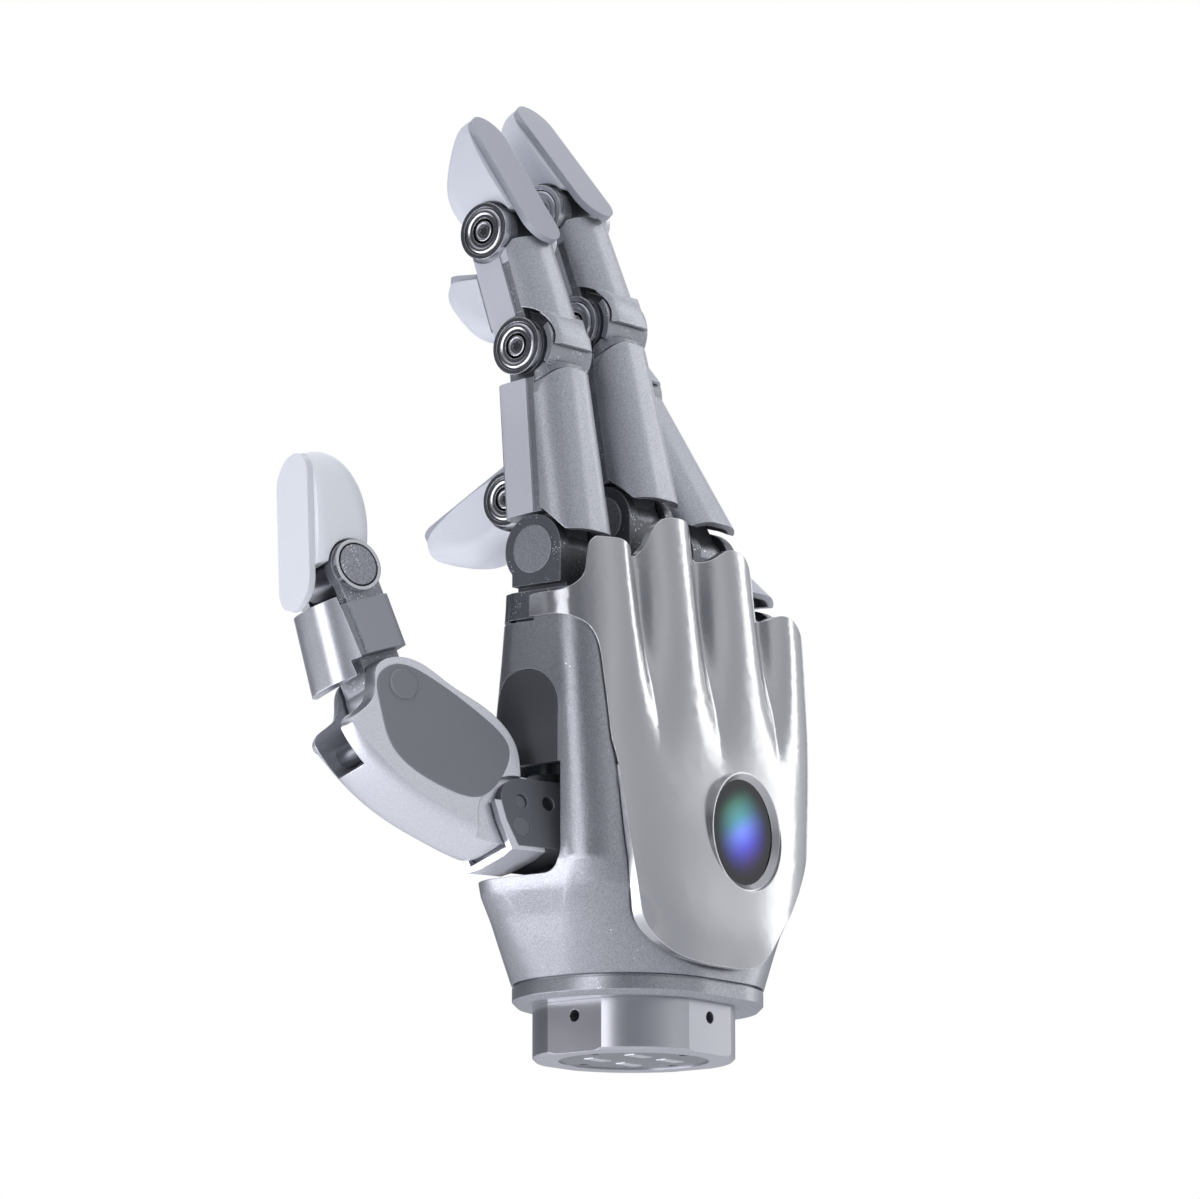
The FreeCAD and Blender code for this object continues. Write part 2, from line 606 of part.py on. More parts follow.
def middle_parts(length):
    """Forked frame with ears at both joints, and a back shell with a collar over the first."""
    w0, w1 = LINK_W1, LINK_W1 - 0.8
    rows = link_rows(0.0, length, w0, w1, BACK1, BACK1 - 0.6, PALM1, PALM1 - 0.2)
    lo, hi = LINK_END, length - LINK_END
    core = loft(grown(rows, -PAD_PROUD), True).common(box(-20, 20, SPLIT_Y + 0.05, 40, lo, hi))
    spine = loft(grown(rows, -SHELL_T - 0.2), True).common(box(-20, 20, -40, SPLIT_Y + 0.2, lo + 2.4, hi - 1))
    ears = []
    for z, toward in ((0, 1), (length, -1)):
        for s in (-1, 1):
            x0, x1 = sorted((s * EAR_IN, s * EAR_OUT))
            a, b = sorted((z, z + toward * (LINK_END + 1)))
            ears.append(cyl(EAR_R, (x0, 0, z), (x1, 0, z)))
            ears.append(box(x0, x1, SPLIT_Y + 0.05, EAR_R - 0.6, a, b))
    arcs = tuple((z, CAP_R + 0.7) for z in (0, length))
    pads = side_pads(rows, lo - 3.4, hi + 3.4, arcs)
    pads = pads.common(box(-20, 20, -20, EAR_R - 0.7, -50, 90).fuse(box(-20, 20, -20, 20, lo, hi)))
    frame = fuse([core, spine, pads] + ears)
    for z in (0, length):
        frame = frame.cut(cyl(EAR_R + ARC_GAP, (-EAR_IN, 0, z), (EAR_IN, 0, z)))
        frame = frame.cut(cyl(PIN_R, (-20, 0, z), (20, 0, z)))
    shell = back_shell(rows, 1.0, length - 4.0).cut(cyl(8.3, (-20, 0, 0), (20, 0, 0)))
    collar = cyl(9.3, (-w0 / 2 + 0.3, 0, 0), (w0 / 2 - 0.3, 0, 0)).cut(cyl(8.3, (-20, 0, 0), (20, 0, 0)))
    lid = prism([(-20, SPLIT_Y, 4.5), (-20, SPLIT_Y - 1.6, 0.5), (-20, -8.0, -3.0), (-20, -20, -4.0),
                 (-20, -20, 5.0)], (40, 0, 0))
    arch = loft(((-w0 / 2, w0 / 2, -9.3, 8.0, 5.2, 2.0, -6.0),
                 (-w0 / 2, w0 / 2, -9.3, 8.0, 5.2, 2.0, 9.0)), True)
    collar = collar.common(lid).common(arch)
    shell = shell.fuse(collar).removeSplitter()
    shell = shell.cut(cyl(EAR_R + 0.3, (-20, 0, length), (20, 0, length)))
    return frame, shell


def joint_caps(length):
    """Two pins with stepped ring caps at both ends."""
    out = []
    for z in (0, length):
        shaft = cyl(PIN_R, (-EAR_OUT, 0, z), (EAR_OUT, 0, z))
        caps = [shaft]
        for s in (-1, 1):
            ring = cyl(CAP_R, (s * EAR_OUT, 0, z), (s * (EAR_OUT + CAP_H), 0, z))
            groove = cyl(CAP_R - 1.0, (s * (EAR_OUT + CAP_H - 0.4), 0, z), (s * (EAR_OUT + 9), 0, z))
            ring = ring.cut(groove.cut(cyl(CAP_R - 1.9, (s * EAR_OUT, 0, z), (s * (EAR_OUT + 9), 0, z))))
            well = cyl(2.7, (s * (EAR_OUT + CAP_H - 0.8), 0, z), (s * (EAR_OUT + 9), 0, z))
            hub = cyl(2.1, (s * EAR_OUT, 0, z), (s * (EAR_OUT + CAP_H - 0.2), 0, z))
            caps.append(ring.cut(well).fuse(hub))
        out.append(fuse(caps))
    return out


def nail_prism(width, low, high, y_low, y_high, t):
    """Long oval plate whose face leans from the lower back edge to the tip."""
    run = math.hypot(high - low, y_high - y_low)
    r = width / 2
    plate = box(-r, r, 0, t, r * 0.9, run - r)
    plate = plate.fuse(cyl(r, (0, 0, run - r), (0, t, run - r)))
    lower = Part.makeCylinder(r, t, V(0, 0, r * 0.9), V(0, 1, 0))
    plate = plate.fuse(lower).removeSplitter()
    plate.rotate(V(0, 0, 0), V(-1, 0, 0), math.degrees(math.atan2(y_high - y_low, high - low)))
    plate.translate(V(0, y_low, low))
    return plate


def nail_half_space(low, high, y_low, y_high, t):
    """Everything in front of the nail's inner face."""
    block = box(-40, 40, t, 80, -60, 90)
    block.rotate(V(0, 0, 0), V(-1, 0, 0), math.degrees(math.atan2(y_high - y_low, high - low)))
    block.translate(V(0, y_low, low))
    return block


def tip_parts(scale_w, ear_r, back_low, back_high, length, low, rows, ear_in, cap_r):
    """Soft fingertip with its inner tongue, and the hard nail plate on its back."""
    body = Part.makeLoft([section(*row) for row in rows], True, False)
    body = body.common(nail_half_space(low, length, back_low, back_high, NAIL_T))
    ring = cyl(cap_r + 0.7, (-20, 0, 0), (20, 0, 0))
    body = body.cut(ring)
    half = ear_in - TONGUE_GAP
    r = ear_r - 0.2
    ear = cyl(r, (-half, 0, 0), (half, 0, 0)).fuse(box(-half, half, -r + 0.8, r - 0.8, 0, cap_r + 2.5))
    body = fuse([body, ear]).cut(cyl(PIN_R + RUNNING, (-20, 0, 0), (20, 0, 0)))
    nail = nail_prism(scale_w, low, length, back_low, back_high, NAIL_T)
    return body, nail


def finger_tip():
    rows = (
        (-6.4, 6.4, -9.6, 6.8, 4.0, 3.0, 2.6),
        (-7.0, 7.0, -9.6, 8.4, 4.4, 4.2, 8.0),
        (-7.1, 7.1, -8.6, 9.3, 4.6, 5.0, 14.0),
        (-6.2, 6.2, -6.6, 7.2, 4.4, 5.0, 20.5),
        (-4.4, 4.4, -4.2, 4.6, 3.6, 3.6, 25.3),
        (-1.6, 1.6, -1.8, 2.2, 1.3, 1.3, 27.8),
    )
    return tip_parts(NAIL_W, EAR_R, -10.1, -1.6, 28.2, -4.8, rows, EAR_IN, CAP_R)


def build_finger(name, x, y, z, mcp, pip, dip):
    prox_frame, prox_shell = proximal_parts(MCP_TO_PIP)
    mid_frame, mid_shell = middle_parts(PIP_TO_DIP)
    caps = joint_caps(PIP_TO_DIP)
    tip, nail = finger_tip()

    def distal(shape):
        out = bend(shape, dip)
        out.translate(V(0, 0, PIP_TO_DIP))
        return middle(out)

    def middle(shape):
        out = bend(shape, pip)
        out.translate(V(0, 0, MCP_TO_PIP))
        return proximal(out)

    def proximal(shape):
        out = bend(shape, mcp)
        out.translate(V(x, y, z))
        return out

    save(name + "_knuckle", knuckle(x, y, z))
    save(name + "_knuckle_pin", knuckle_pin(x, y, z))
    save(name + "_proximal_frame", proximal(prox_frame))
    save(name + "_proximal_shell", proximal(prox_shell))
    save(name + "_middle_frame", middle(mid_frame))
    save(name + "_middle_shell", middle(mid_shell))
    save(name + "_joint_caps", [middle(c) for c in caps])
    save(name + "_fingertip", distal(tip))
    save(name + "_nail", distal(nail))


def wrist_parts():
    """Boss ring with four flats, contact plate in its mouth, and the flange above."""
    boss = cyl(BOSS_R, (0, 0, 0), (0, 0, BOSS_H))
    boss = boss.makeChamfer(BOSS_CHAMFER, [boss.Edges[k] for k in range(len(boss.Edges))
                                          if abs(boss.Edges[k].BoundBox.ZMax) < 0.01])
    square = box(-BOSS_FLAT, BOSS_FLAT, -BOSS_FLAT, BOSS_FLAT, -1, BOSS_H + 1)
    boss = boss.common(square)
    boss = boss.cut(cyl(BOSS_BORE_R, (0, 0, -1), (0, 0, BOSS_H + 1)))
    for ax, ay in ((1, 0), (0, 1)):
        boss = boss.cut(cyl(GRUB_R, (-40 * ax, -40 * ay, GRUB_Z), (40 * ax, 40 * ay, GRUB_Z)))
    z0 = CONTACT_RECESS
    z1 = z0 + CONTACT_PLATE_H
    plate = cyl(BOSS_BORE_R, (0, 0, z0), (0, 0, z1))
    pads, screws = [], []
    for k in range(4):
        a = math.radians(45 + 90 * k)
        cx, cy = PAD_PCD / 2 * math.cos(a), PAD_PCD / 2 * math.sin(a)
        pad = box(cx - PAD_W / 2, cx + PAD_W / 2, cy - PAD_L / 2, cy + PAD_L / 2, z0 - 0.15, z0 + 1.0)
        pads.append(pad)
        b = math.radians(90 * k)
        sx, sy = PLATE_SCREW_PCD / 2 * math.cos(b), PLATE_SCREW_PCD / 2 * math.sin(b)
        screw = cyl(PLATE_SCREW_R, (sx, sy, z0), (sx, sy, z1))
        screws.append(screw)
    plate = plate.cut(Part.makeCompound(pads)).cut(Part.makeCompound(screws))
    z2 = BOSS_H
    z3 = z2 + FLANGE_H
    c = FLANGE_CHAMFER
    r = FLANGE_HY - 1.6
    x0, x1 = FLANGE_DX - FLANGE_HX, FLANGE_DX + FLANGE_HX
    low = (x0 + c, x1 - c, -FLANGE_HY + c, FLANGE_HY - c, r - c, r - c, z2)
    mid = (x0, x1, -FLANGE_HY, FLANGE_HY, r, r, z2 + c)
    top = mid[:6] + (z3,)
    d = SEAM_DEPTH
    neck = (x0 + d, x1 - d, -FLANGE_HY + d, FLANGE_HY - d, r - d, r - d, z3)
    flange = fuse([loft((low, mid), True), loft((mid, top), True), loft((neck, neck[:6] + (z3 + SEAM_H,)), True)])
    return boss, plate, pads, screws, flange


def chassis():
    """Cross plate inside the palm with two lugs for each knuckle."""
    room = palm_form(WALL + 0.05, WALL)
    base = room.common(box(-80, 80, -14.5, 60, CHASSIS_Z0, CHASSIS_Z0 + CHASSIS_H))
    solids = [base]
    holes = []
    for _, x, y, z, _, _, _ in FINGERS:
        pz = z - KNUCKLE_DROP
        for y0 in (y - KNUCKLE_BACK - LUG_GAP - LUG_T, y + KNUCKLE_PALM + LUG_GAP):
            lug = cyl(LUG_R, (x, y0, pz), (x, y0 + LUG_T, pz))
            stem = box(x - LUG_R, x + LUG_R, y0, y0 + LUG_T, CHASSIS_Z0 + 1, pz)
            solids += [lug, stem]
        holes.append(cyl(PIVOT_PIN_R, (x, -60, pz), (x, 60, pz)))
    body = fuse(solids).common(room)
    return body.cut(Part.makeCompound(holes))


def pivot_pins():
    pins = []
    for _, x, y, z, _, _, _ in FINGERS:
        pz = z - KNUCKLE_DROP
        y0 = max(y - KNUCKLE_BACK - LUG_GAP - LUG_T, palm_level(pz)[2] + WALL + 0.1)
        y1 = min(y + KNUCKLE_PALM + LUG_GAP + LUG_T, palm_level(pz)[3] - WALL - 0.1)
        pins.append(cyl(PIVOT_PIN_R, (x, y0, pz), (x, y1, pz)))
    foot = (THUMB_AXIS_X, THUMB_AXIS_Y, BAY_Z0 - 6)
    pins.append(cyl(THUMB_SHAFT_R, foot, (THUMB_AXIS_X, THUMB_AXIS_Y, BAY_Z1 + 4)))
    return pins


def actuators():
    """Five small linear drives standing between flange and chassis."""
    out = []
    for k in range(5):
        x = -4.0 + 6.5 * k
        y = -8.0 if k % 2 else 1.5
        out.append(cyl(4.4, (x, y, HOUSING_Z0 + WALL + 6), (x, y, CHASSIS_Z0)))
    return out


# Thumb

N = V(-0.2703, -0.9421, 0.1982)
N.normalize()
UP0 = (V(0, 0, 1) - N * N.z)
UP0.normalize()
LEFT0 = N.cross(UP0)
META_LEAN = 31.8
PROX_LEAN = 17.8
TIP_LEAN = 14.6
CMC = V(-41.5, 2.0, 41.7)
META_DY = -7.1


def thumb_frame(lean):
    """Turn from a link's own frame (x hinge, y palm side, z along) to the hand's."""
    a = math.radians(lean)
    zdir = UP0 * math.cos(a) + LEFT0 * math.sin(a)
    ydir = UP0 * math.sin(a) - LEFT0 * math.cos(a)
    m = FreeCAD.Matrix(N.x, ydir.x, zdir.x, 0, N.y, ydir.y, zdir.y, 0, N.z, ydir.z, zdir.z, 0, 0, 0, 0, 1)
    return FreeCAD.Placement(m)


def thumb_place(shape, lean, origin):
    out = shape.copy()
    p = thumb_frame(lean)
    p.Base = origin
    out.Placement = p.multiply(out.Placement)
    return out


def thumb_point(lean, origin, y, z):
    p = thumb_frame(lean)
    return origin + p.Rotation.multVec(V(0, y, z))


# Metacarpal seen along its hinge, from the hinge: back edge upwards, then round to the palm side
META_BACK = ((-24.5, 35.9), (-24.5, 29.1), (-22.4, 21.6), (-18.2, 13.2), (-13.7, 6.7), (-9.4, 1.5),
             (-5.2, -1.0))
META_FRONT = ((-0.6, 0.4), (5.9, 6.6), (10.8, 14.3), (8.8, 24.3), (4.1, 32.2), (1.0, 38.3), (-4.1, 42.9),
              (-10.6, 43.5), (-16.5, 38.3))
META_SHARES = (0.6, 1.0, 1.0, 1.0, 1.0, 0.8, 0.4, 0.3, 0.3, 0.4, 0.3, 0.3, 0.3, 0.3, 0.3, 0.3)
META_COVER = ((-9.8, 41.6), (-4.6, 40.6), (-0.2, 35.6), (3.0, 30.0), (6.6, 22.3), (7.9, 14.8), (2.4, 10.6),
              (-5.0, 9.6), (-12.1, 15.3), (-17.7, 28.3), (-14.7, 36.3))
META_ROUND = ((-1.0, 4.4), (-0.8, 1.7), (-0.4, 0.0), (0.45, 0.0), (0.8, 0.8), (1.0, 2.4))


def smooth_outline(points, x0, x1):
    curve = Part.BSplineCurve()
    curve.interpolate([V(x0, y, z) for y, z in points], PeriodicFlag=True)
    return Part.Face(Part.Wire([curve.toShape()])).extrude(V(x1 - x0, 0, 0))


def rounded_body(points, shares, half, rounding):
    """Loft across a width whose outline draws in towards both sides."""
    wires = []
    n = len(points)
    for at, inset in rounding:
        ring = []
        for k, (y, z) in enumerate(points):
            ya, za = points[k - 1]
            yb, zb = points[(k + 1) % n]
            d = math.hypot(yb - ya, zb - za)
            move = inset * shares[k]
            ring.append(V(at * half, y - (zb - za) / d * move, z + (yb - ya) / d * move))
        curve = Part.BSplineCurve()
        curve.interpolate(ring, PeriodicFlag=True)
        wires.append(Part.Wire([curve.toShape()]))
    return Part.makeLoft(wires, True, False)


def metacarpal_parts():
    """Big curved back shell, forked at its elbow, and the side cover with its round boss."""
    half = THUMB_W / 2
    points = META_BACK + META_FRONT
    body = rounded_body(points, META_SHARES, half, META_ROUND)
    seat = half - COVER_SEAT
    cover = smooth_outline(META_COVER, seat, half + 0.1)
    boss = cyl(3.1, (seat, META_DY, THUMB_META), (half + 0.5, META_DY, THUMB_META))
    cover = cover.fuse(boss).removeSplitter()
    shell = body.cut(smooth_outline(META_COVER, seat, half + 5))
    ear = THUMB_EAR_R + ARC_GAP
    inner = EAR_IN + 0.3
    low = THUMB_META - ear - 3.2
    room = cyl(ear + 3.2, (-inner, META_DY, THUMB_META), (inner, META_DY, THUMB_META))
    mouth = prism([(-inner, META_DY, low), (-inner, META_DY - 18.0, low), (-inner, -46.0, 52.0),
                   (-inner, 14.0, 52.0), (-inner, 14.0, THUMB_META - 6.0)], (2 * inner, 0, 0))
    shell = shell.cut(room.fuse(mouth))
    shell = shell.cut(cyl(PIN_R, (-20, META_DY, THUMB_META), (seat, META_DY, THUMB_META)))
    for s in (-1, 1):
        x0, x1 = sorted((s * (CHEEK_IN - 0.25), s * 20))
        shell = shell.cut(cyl(CHEEK_SWEEP, (x0, 0, 0), (x1, 0, 0)))
    sweep = [(-half, 0.0, 0.0)]
    for degrees in range(ROOT_SWEEP[0], ROOT_SWEEP[1] + 1, 20):
        a = math.radians(degrees)
        sweep.append((-half, 2.4 * HUB_R * math.cos(a), 2.4 * HUB_R * math.sin(a)))
    shell = shell.cut(prism(sweep, (2 * half, 0, 0)))
    hub = cyl(HUB_R, (-CHEEK_IN + 0.25, 0, 0), (CHEEK_IN - 0.25, 0, 0))
    shell = shell.fuse(hub).cut(cyl(PIN_R, (-20, 0, 0), (20, 0, 0)))
    rod = cyl(2.6, (-inner, META_DY - 11.5, THUMB_META - 6.5), (inner, META_DY - 11.5, THUMB_META - 6.5))
    return shell, cover, rod


def thumb_proximal_parts():
    w = THUMB_W
    rows = ((-w / 2, w / 2, -14.8, 5.6, 7.4, 2.4, 0.0),
            (-w / 2 + 0.3, w / 2 - 0.3, -10.6, 6.2, 7.2, 2.4, THUMB_PROX))
    split = -7.2
    lo, hi = 8.0, THUMB_PROX - 6.9
    core = loft(grown(rows, -PAD_PROUD), True).common(box(-20, 20, split + 0.05, 40, lo, hi))
    pads = loft(rows, True).cut(loft(grown(rows, -PAD_PROUD), True)).common(box(-20, 20, -5.2, 40, lo, hi))
    spine = loft(grown(rows, -SHELL_T - 0.2), True).common(box(-20, 20, -40, split + 0.2, lo, hi))
    half = EAR_IN - TONGUE_GAP
    r = THUMB_EAR_R
    low_ear = cyl(r, (-half, 0, 0), (half, 0, 0)).fuse(box(-half, half, -r + 0.4, r - 1.0, 0, lo + 2))
    ears = [low_ear]
    for s in (-1, 1):
        x0, x1 = sorted((s * EAR_IN, s * EAR_OUT))
        ears.append(cyl(r, (x0, 0, THUMB_PROX), (x1, 0, THUMB_PROX)))
        ears.append(box(x0, x1, -r + 0.6, r - 1.0, hi - 1, THUMB_PROX))
    frame = fuse([core, pads, spine] + ears)
    frame = frame.cut(cyl(r + ARC_GAP, (-EAR_IN, 0, THUMB_PROX), (EAR_IN, 0, THUMB_PROX)))
    frame = frame.cut(cyl(PIN_R, (-20, 0, THUMB_PROX), (20, 0, THUMB_PROX)))
    frame = frame.cut(cyl(PIN_R + RUNNING, (-20, 0, 0), (20, 0, 0)))
    shell = loft(rows, True).cut(loft(grown(rows, -SHELL_T), True))
    shell = shell.common(box(-20, 20, -40, split, 7.6, THUMB_PROX - 5.2))
    heel = loft(rows, True).common(box(-20, 20, -40, -9.6, PROX_HEEL_Z, 7.9))
    shell = shell.fuse(heel).removeSplitter()
    shell = shell.cut(cyl(THUMB_CAP_R + 0.8, (-20, 0, THUMB_PROX), (20, 0, THUMB_PROX)))
    return frame, shell


def thumb_caps():
    shaft = cyl(PIN_R, (-EAR_OUT, 0, 0), (EAR_OUT, 0, 0))
    solids = [shaft]
    for s in (-1, 1):
        cap = cyl(THUMB_CAP_R, (s * EAR_OUT, 0, 0), (s * (EAR_OUT + CAP_H), 0, 0))
        face = s * (EAR_OUT + CAP_H)
        ring = cyl(CAP_RIM_R, (face - s * 0.3, 0, 0), (face + s, 0, 0))
        solids.append(cap.cut(ring.cut(cyl(CAP_RIM_R - 0.4, (face - s, 0, 0), (face + s, 0, 0)))))
    return fuse(solids)


def thumb_tip_parts():
    rows = (
        (-6.8, 6.8, -11.4, 5.4, 5.0, 3.0, 2.2),
        (-7.4, 7.4, -9.8, 8.4, 5.4, 4.4, 8.0),
        (-7.4, 7.4, -7.8, 10.1, 5.4, 5.2, 14.0),
        (-6.6, 6.6, -5.4, 9.8, 5.0, 5.0, 20.0),
        (-4.6, 4.6, -3.0, 7.8, 3.8, 3.8, 24.4),
        (-1.8, 1.8, -0.2, 4.4, 1.5, 1.5, 26.6),
    )
    return tip_parts(THUMB_NAIL_W, THUMB_EAR_R, -12.2, -0.8, 27.0, -4.4, rows, EAR_IN, THUMB_CAP_R)


def yz_prism(points, x0, x1):
    return prism([(x0, y, z) for y, z in points], (x1 - x0, 0, 0))


def thumb_lip(grow):
    """Lip round the front and the underside of the bracket, or the room that it needs."""
    half = THUMB_W / 2
    g = grow
    floor = -HUB_R - 0.3
    lip = yz_prism(((-6.0 - g, 5.2 + g), (-4.4 + g, 5.2 + g), (-3.6 + g, 1.0), (-1.4 + g, floor + g),
                    (LIP_END, floor + g), (LIP_END, floor - LIP_T - g), (-3.0 - g, floor - LIP_T - g),
                    (-5.2 - g, 1.0)), -half, half)
    return lip.cut(box(g - CHEEK_IN, CHEEK_IN - g, -20, 20, floor + g, 20))


def thumb_base_parts():
    """Bracket with two cheeks round the thumb's root, and the bright lip along its edge."""
    half = THUMB_W / 2
    floor = -HUB_R - 0.3
    plate = yz_prism(((-1.4, floor), (-3.6, 1.0), (-4.4, 5.2), (BRACKET_END, 5.2), (BRACKET_END, floor)),
                     -half, half)
    upper = cyl(5.0, (-half, 0.6, 5.2), (half, 0.6, 5.2)).fuse(box(-half, half, 0.6, BRACKET_END, 5.2, 10.2))
    bracket = fuse([plate, upper])
    gap = box(-CHEEK_IN, CHEEK_IN, -20, BRACKET_BACK, -20, 20)
    bracket = bracket.cut(gap)
    for y in BRACKET_SCREWS:
        bracket = bracket.cut(cyl(SCREW_R, (half - SCREW_DEPTH, y, 5.4), (half + 1, y, 5.4)))
    lip = thumb_lip(0.0)
    for s in (-1, 1):
        side = s * (half + 0.1)
        inner = s * (half - LIP_SLOPE)
        low = floor - LIP_T
        wedge = prism([(side, -20, floor - LIP_EDGE), (side, -20, low - 1), (inner, -20, low - 1),
                       (inner, -20, low)], (0, 60, 0))
        lip = lip.cut(wedge)
        bracket = bracket.cut(wedge)
    bracket = bracket.cut(lip).cut(cyl(PIN_R + RUNNING, (-20, 0, 0), (20, 0, 0)))
    pin = cyl(PIN_R, (-half, 0, 0), (half, 0, 0))
    screws = [cyl(SCREW_R, (half - SCREW_DEPTH, y, 5.4), (half - 0.5, y, 5.4)) for y in BRACKET_SCREWS]
    return bracket, lip, pin, screws


def build_thumb():
    mcp = thumb_point(META_LEAN, CMC, META_DY, THUMB_META)
    ip = thumb_point(PROX_LEAN, mcp, 0, THUMB_PROX)
    shell, cover, rod = metacarpal_parts()
    shell = thumb_place(shell, META_LEAN, CMC)
    for degrees in ROOT_TURNS:
        room = thumb_place(thumb_lip(LIP_ROOM), 0.0, CMC)
        room.rotate(CMC, N, -degrees)
        shell = shell.cut(room)
    save("thumb_metacarpal_shell", shell)
    save("thumb_metacarpal_cover", thumb_place(cover, META_LEAN, CMC))
    pin = cyl(PIN_R, (-THUMB_W / 2 + 1.0, 0, 0), (THUMB_W / 2 - COVER_SEAT, 0, 0))
    frame, pshell = thumb_proximal_parts()
    save("thumb_proximal_frame", thumb_place(frame, PROX_LEAN, mcp))
    save("thumb_proximal_shell", thumb_place(pshell, PROX_LEAN, mcp))
    save("thumb_joint_caps", thumb_place(thumb_caps(), PROX_LEAN, ip))
    tip, nail = thumb_tip_parts()
    save("thumb_tip", thumb_place(tip, TIP_LEAN, ip))
    save("thumb_nail", thumb_place(nail, TIP_LEAN, ip))
    bracket, lip, root_pin, screws = thumb_base_parts()
    pins = [thumb_place(rod, META_LEAN, CMC), thumb_place(pin, META_LEAN, mcp), thumb_place(root_pin, 0.0, CMC)]
    save("thumb_pins", pins)
    # The bracket ends in a post that turns on an upright shaft in the bay.
    foot = (THUMB_AXIS_X, THUMB_AXIS_Y, BAY_Z0 + SEAT_GAP)
    head = (THUMB_AXIS_X, THUMB_AXIS_Y, BAY_Z1 - SEAT_GAP)
    post = cyl(POST_R, foot, head)
    reach = box(-THUMB_W / 2, 0.0, BRACKET_END - 2.0, BRACKET_END + 6.0, -HUB_R, 10.0)
    arm = thumb_place(bracket, 0.0, CMC).fuse(thumb_place(reach, 0.0, CMC))
    inside = box(-90, 90, -90, 90, BAY_Z0 + SEAT_GAP, BAY_Z1 - SEAT_GAP)
    arm = fuse([arm.common(inside), post])
    save("thumb_bracket", arm.cut(cyl(THUMB_SHAFT_R + RUNNING, (foot[0], foot[1], 0), (foot[0], foot[1], 99))))
    save("thumb_yoke", thumb_place(lip, 0.0, CMC))
    save("thumb_bracket_screws", [thumb_place(screw, 0.0, CMC) for screw in screws])


def build_palm():
    boss, plate, pads, screws, flange = wrist_parts()
    save("wrist_boss", boss)
    save("contact_plate", plate)
    save("contact_pads", pads)
    save("wrist_flange", flange)
    housing, panel, palm_plate = palm_parts()
    save("palm_housing", housing)
    save("side_panel", panel)
    save("palm_plate", palm_plate)
    cover = dorsal_cover().cut(window_hole())
    save("back_cover", cover)
    bezel, lens = window_parts()
    save("window_bezel", bezel)
    save("window_lens", lens)
    save("knuckle_chassis", chassis())
    save("pivot_pins", pivot_pins())
    save("finger_drives", actuators())


build_palm()
for finger in FINGERS:
    build_finger(*finger)
build_thumb()
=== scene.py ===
import bpy
import bmesh
import json
import math
import numpy as np
from mathutils import Matrix, Vector

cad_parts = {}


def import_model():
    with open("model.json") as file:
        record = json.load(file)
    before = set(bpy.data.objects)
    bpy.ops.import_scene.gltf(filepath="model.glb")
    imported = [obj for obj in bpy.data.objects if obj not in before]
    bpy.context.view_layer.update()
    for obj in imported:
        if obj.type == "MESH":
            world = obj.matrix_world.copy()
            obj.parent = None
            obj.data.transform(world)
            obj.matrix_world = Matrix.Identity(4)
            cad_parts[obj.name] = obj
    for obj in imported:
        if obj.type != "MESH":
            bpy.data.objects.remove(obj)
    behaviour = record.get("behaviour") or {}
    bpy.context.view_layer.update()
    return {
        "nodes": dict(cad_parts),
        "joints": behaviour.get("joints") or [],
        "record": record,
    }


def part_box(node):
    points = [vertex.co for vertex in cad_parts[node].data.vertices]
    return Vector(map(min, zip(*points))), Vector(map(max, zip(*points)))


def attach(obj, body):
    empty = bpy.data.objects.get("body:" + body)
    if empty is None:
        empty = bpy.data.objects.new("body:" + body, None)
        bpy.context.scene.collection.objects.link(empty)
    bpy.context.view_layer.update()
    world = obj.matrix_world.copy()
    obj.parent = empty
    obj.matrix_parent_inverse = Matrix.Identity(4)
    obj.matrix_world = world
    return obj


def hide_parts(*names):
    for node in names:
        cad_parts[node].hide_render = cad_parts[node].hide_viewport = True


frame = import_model()
NODES = frame["nodes"]
JOINTS = {j["name"]: j for j in frame["joints"]}
BODY_OF = {n: b for b, names in frame["record"]["behaviour"]["bodies"].items() for n in names}
FINGERS = ("index", "middle", "ring", "little")
MM = 0.001

# Sizes shared with the solids, in metres
EAR_R = 6.0 * MM
EAR_OUT = 7.0 * MM
CAP_R = 6.0 * MM
CAP_H = 1.5 * MM
CAP_GROOVE = (4.05 * MM, 5.05 * MM)
CAP_WELL_R = 2.75 * MM
PAD_PROUD = 0.5 * MM
BASE_HALF = 8.4 * MM
MIDDLE_HALF = 7.7 * MM
TIP_HALF = 7.3 * MM
THUMB_HALF = 8.0 * MM
THUMB_EAR_R = 5.7 * MM
THUMB_RIM_R = 4.7 * MM
THUMB_RING = 0.36 * MM
HOUSING_MOUTH_Z = 87.3 * MM
NEAR = 0.05 * MM

# How the skins are drawn
EDGE_R = 0.28 * MM
WELD = 0.002 * MM
CREASE_DEG = 28.0
CREASE_OF = {"wrist_boss": 15.0, "window_lens": 40.0}
# Near-white painted on flakes as painted glints
PAINTED_GLINT_WHITE = "f6f6fa"
# Patches of gloss are about 17 mm wide, and patches of painted glints about 5 mm
CLOUDS_PER_M = 60.0
GLINT_PATCHES_PER_M = 190.0
FLAKE = 0.16 * MM
DIMPLE_PITCH = 0.9 * MM
TURNING_PITCH = 1.6 * MM


def rgb(code):
    """sRGB hex colour as linear values."""
    out = []
    for k in (0, 2, 4):
        v = int(code[k:k + 2], 16) / 255
        out.append(v / 12.92 if v <= 0.04045 else ((v + 0.055) / 1.055) ** 2.4)
    return out[0], out[1], out[2], 1.0


def feed(tree, socket, value):
    """Gives a socket a constant, or the output of another node."""
    if isinstance(value, bpy.types.NodeSocket):
        tree.links.new(value, socket)
    else:
        socket.default_value = value


def node(tree, kind, inputs=None, **settings):
    """One shader node with its settings, and with each input fed by its name or number."""
    n = tree.nodes.new(kind)
    for key, value in settings.items():
        setattr(n, key, value)
    for key, value in (inputs or {}).items():
        feed(tree, n.inputs[key], value)
    return n


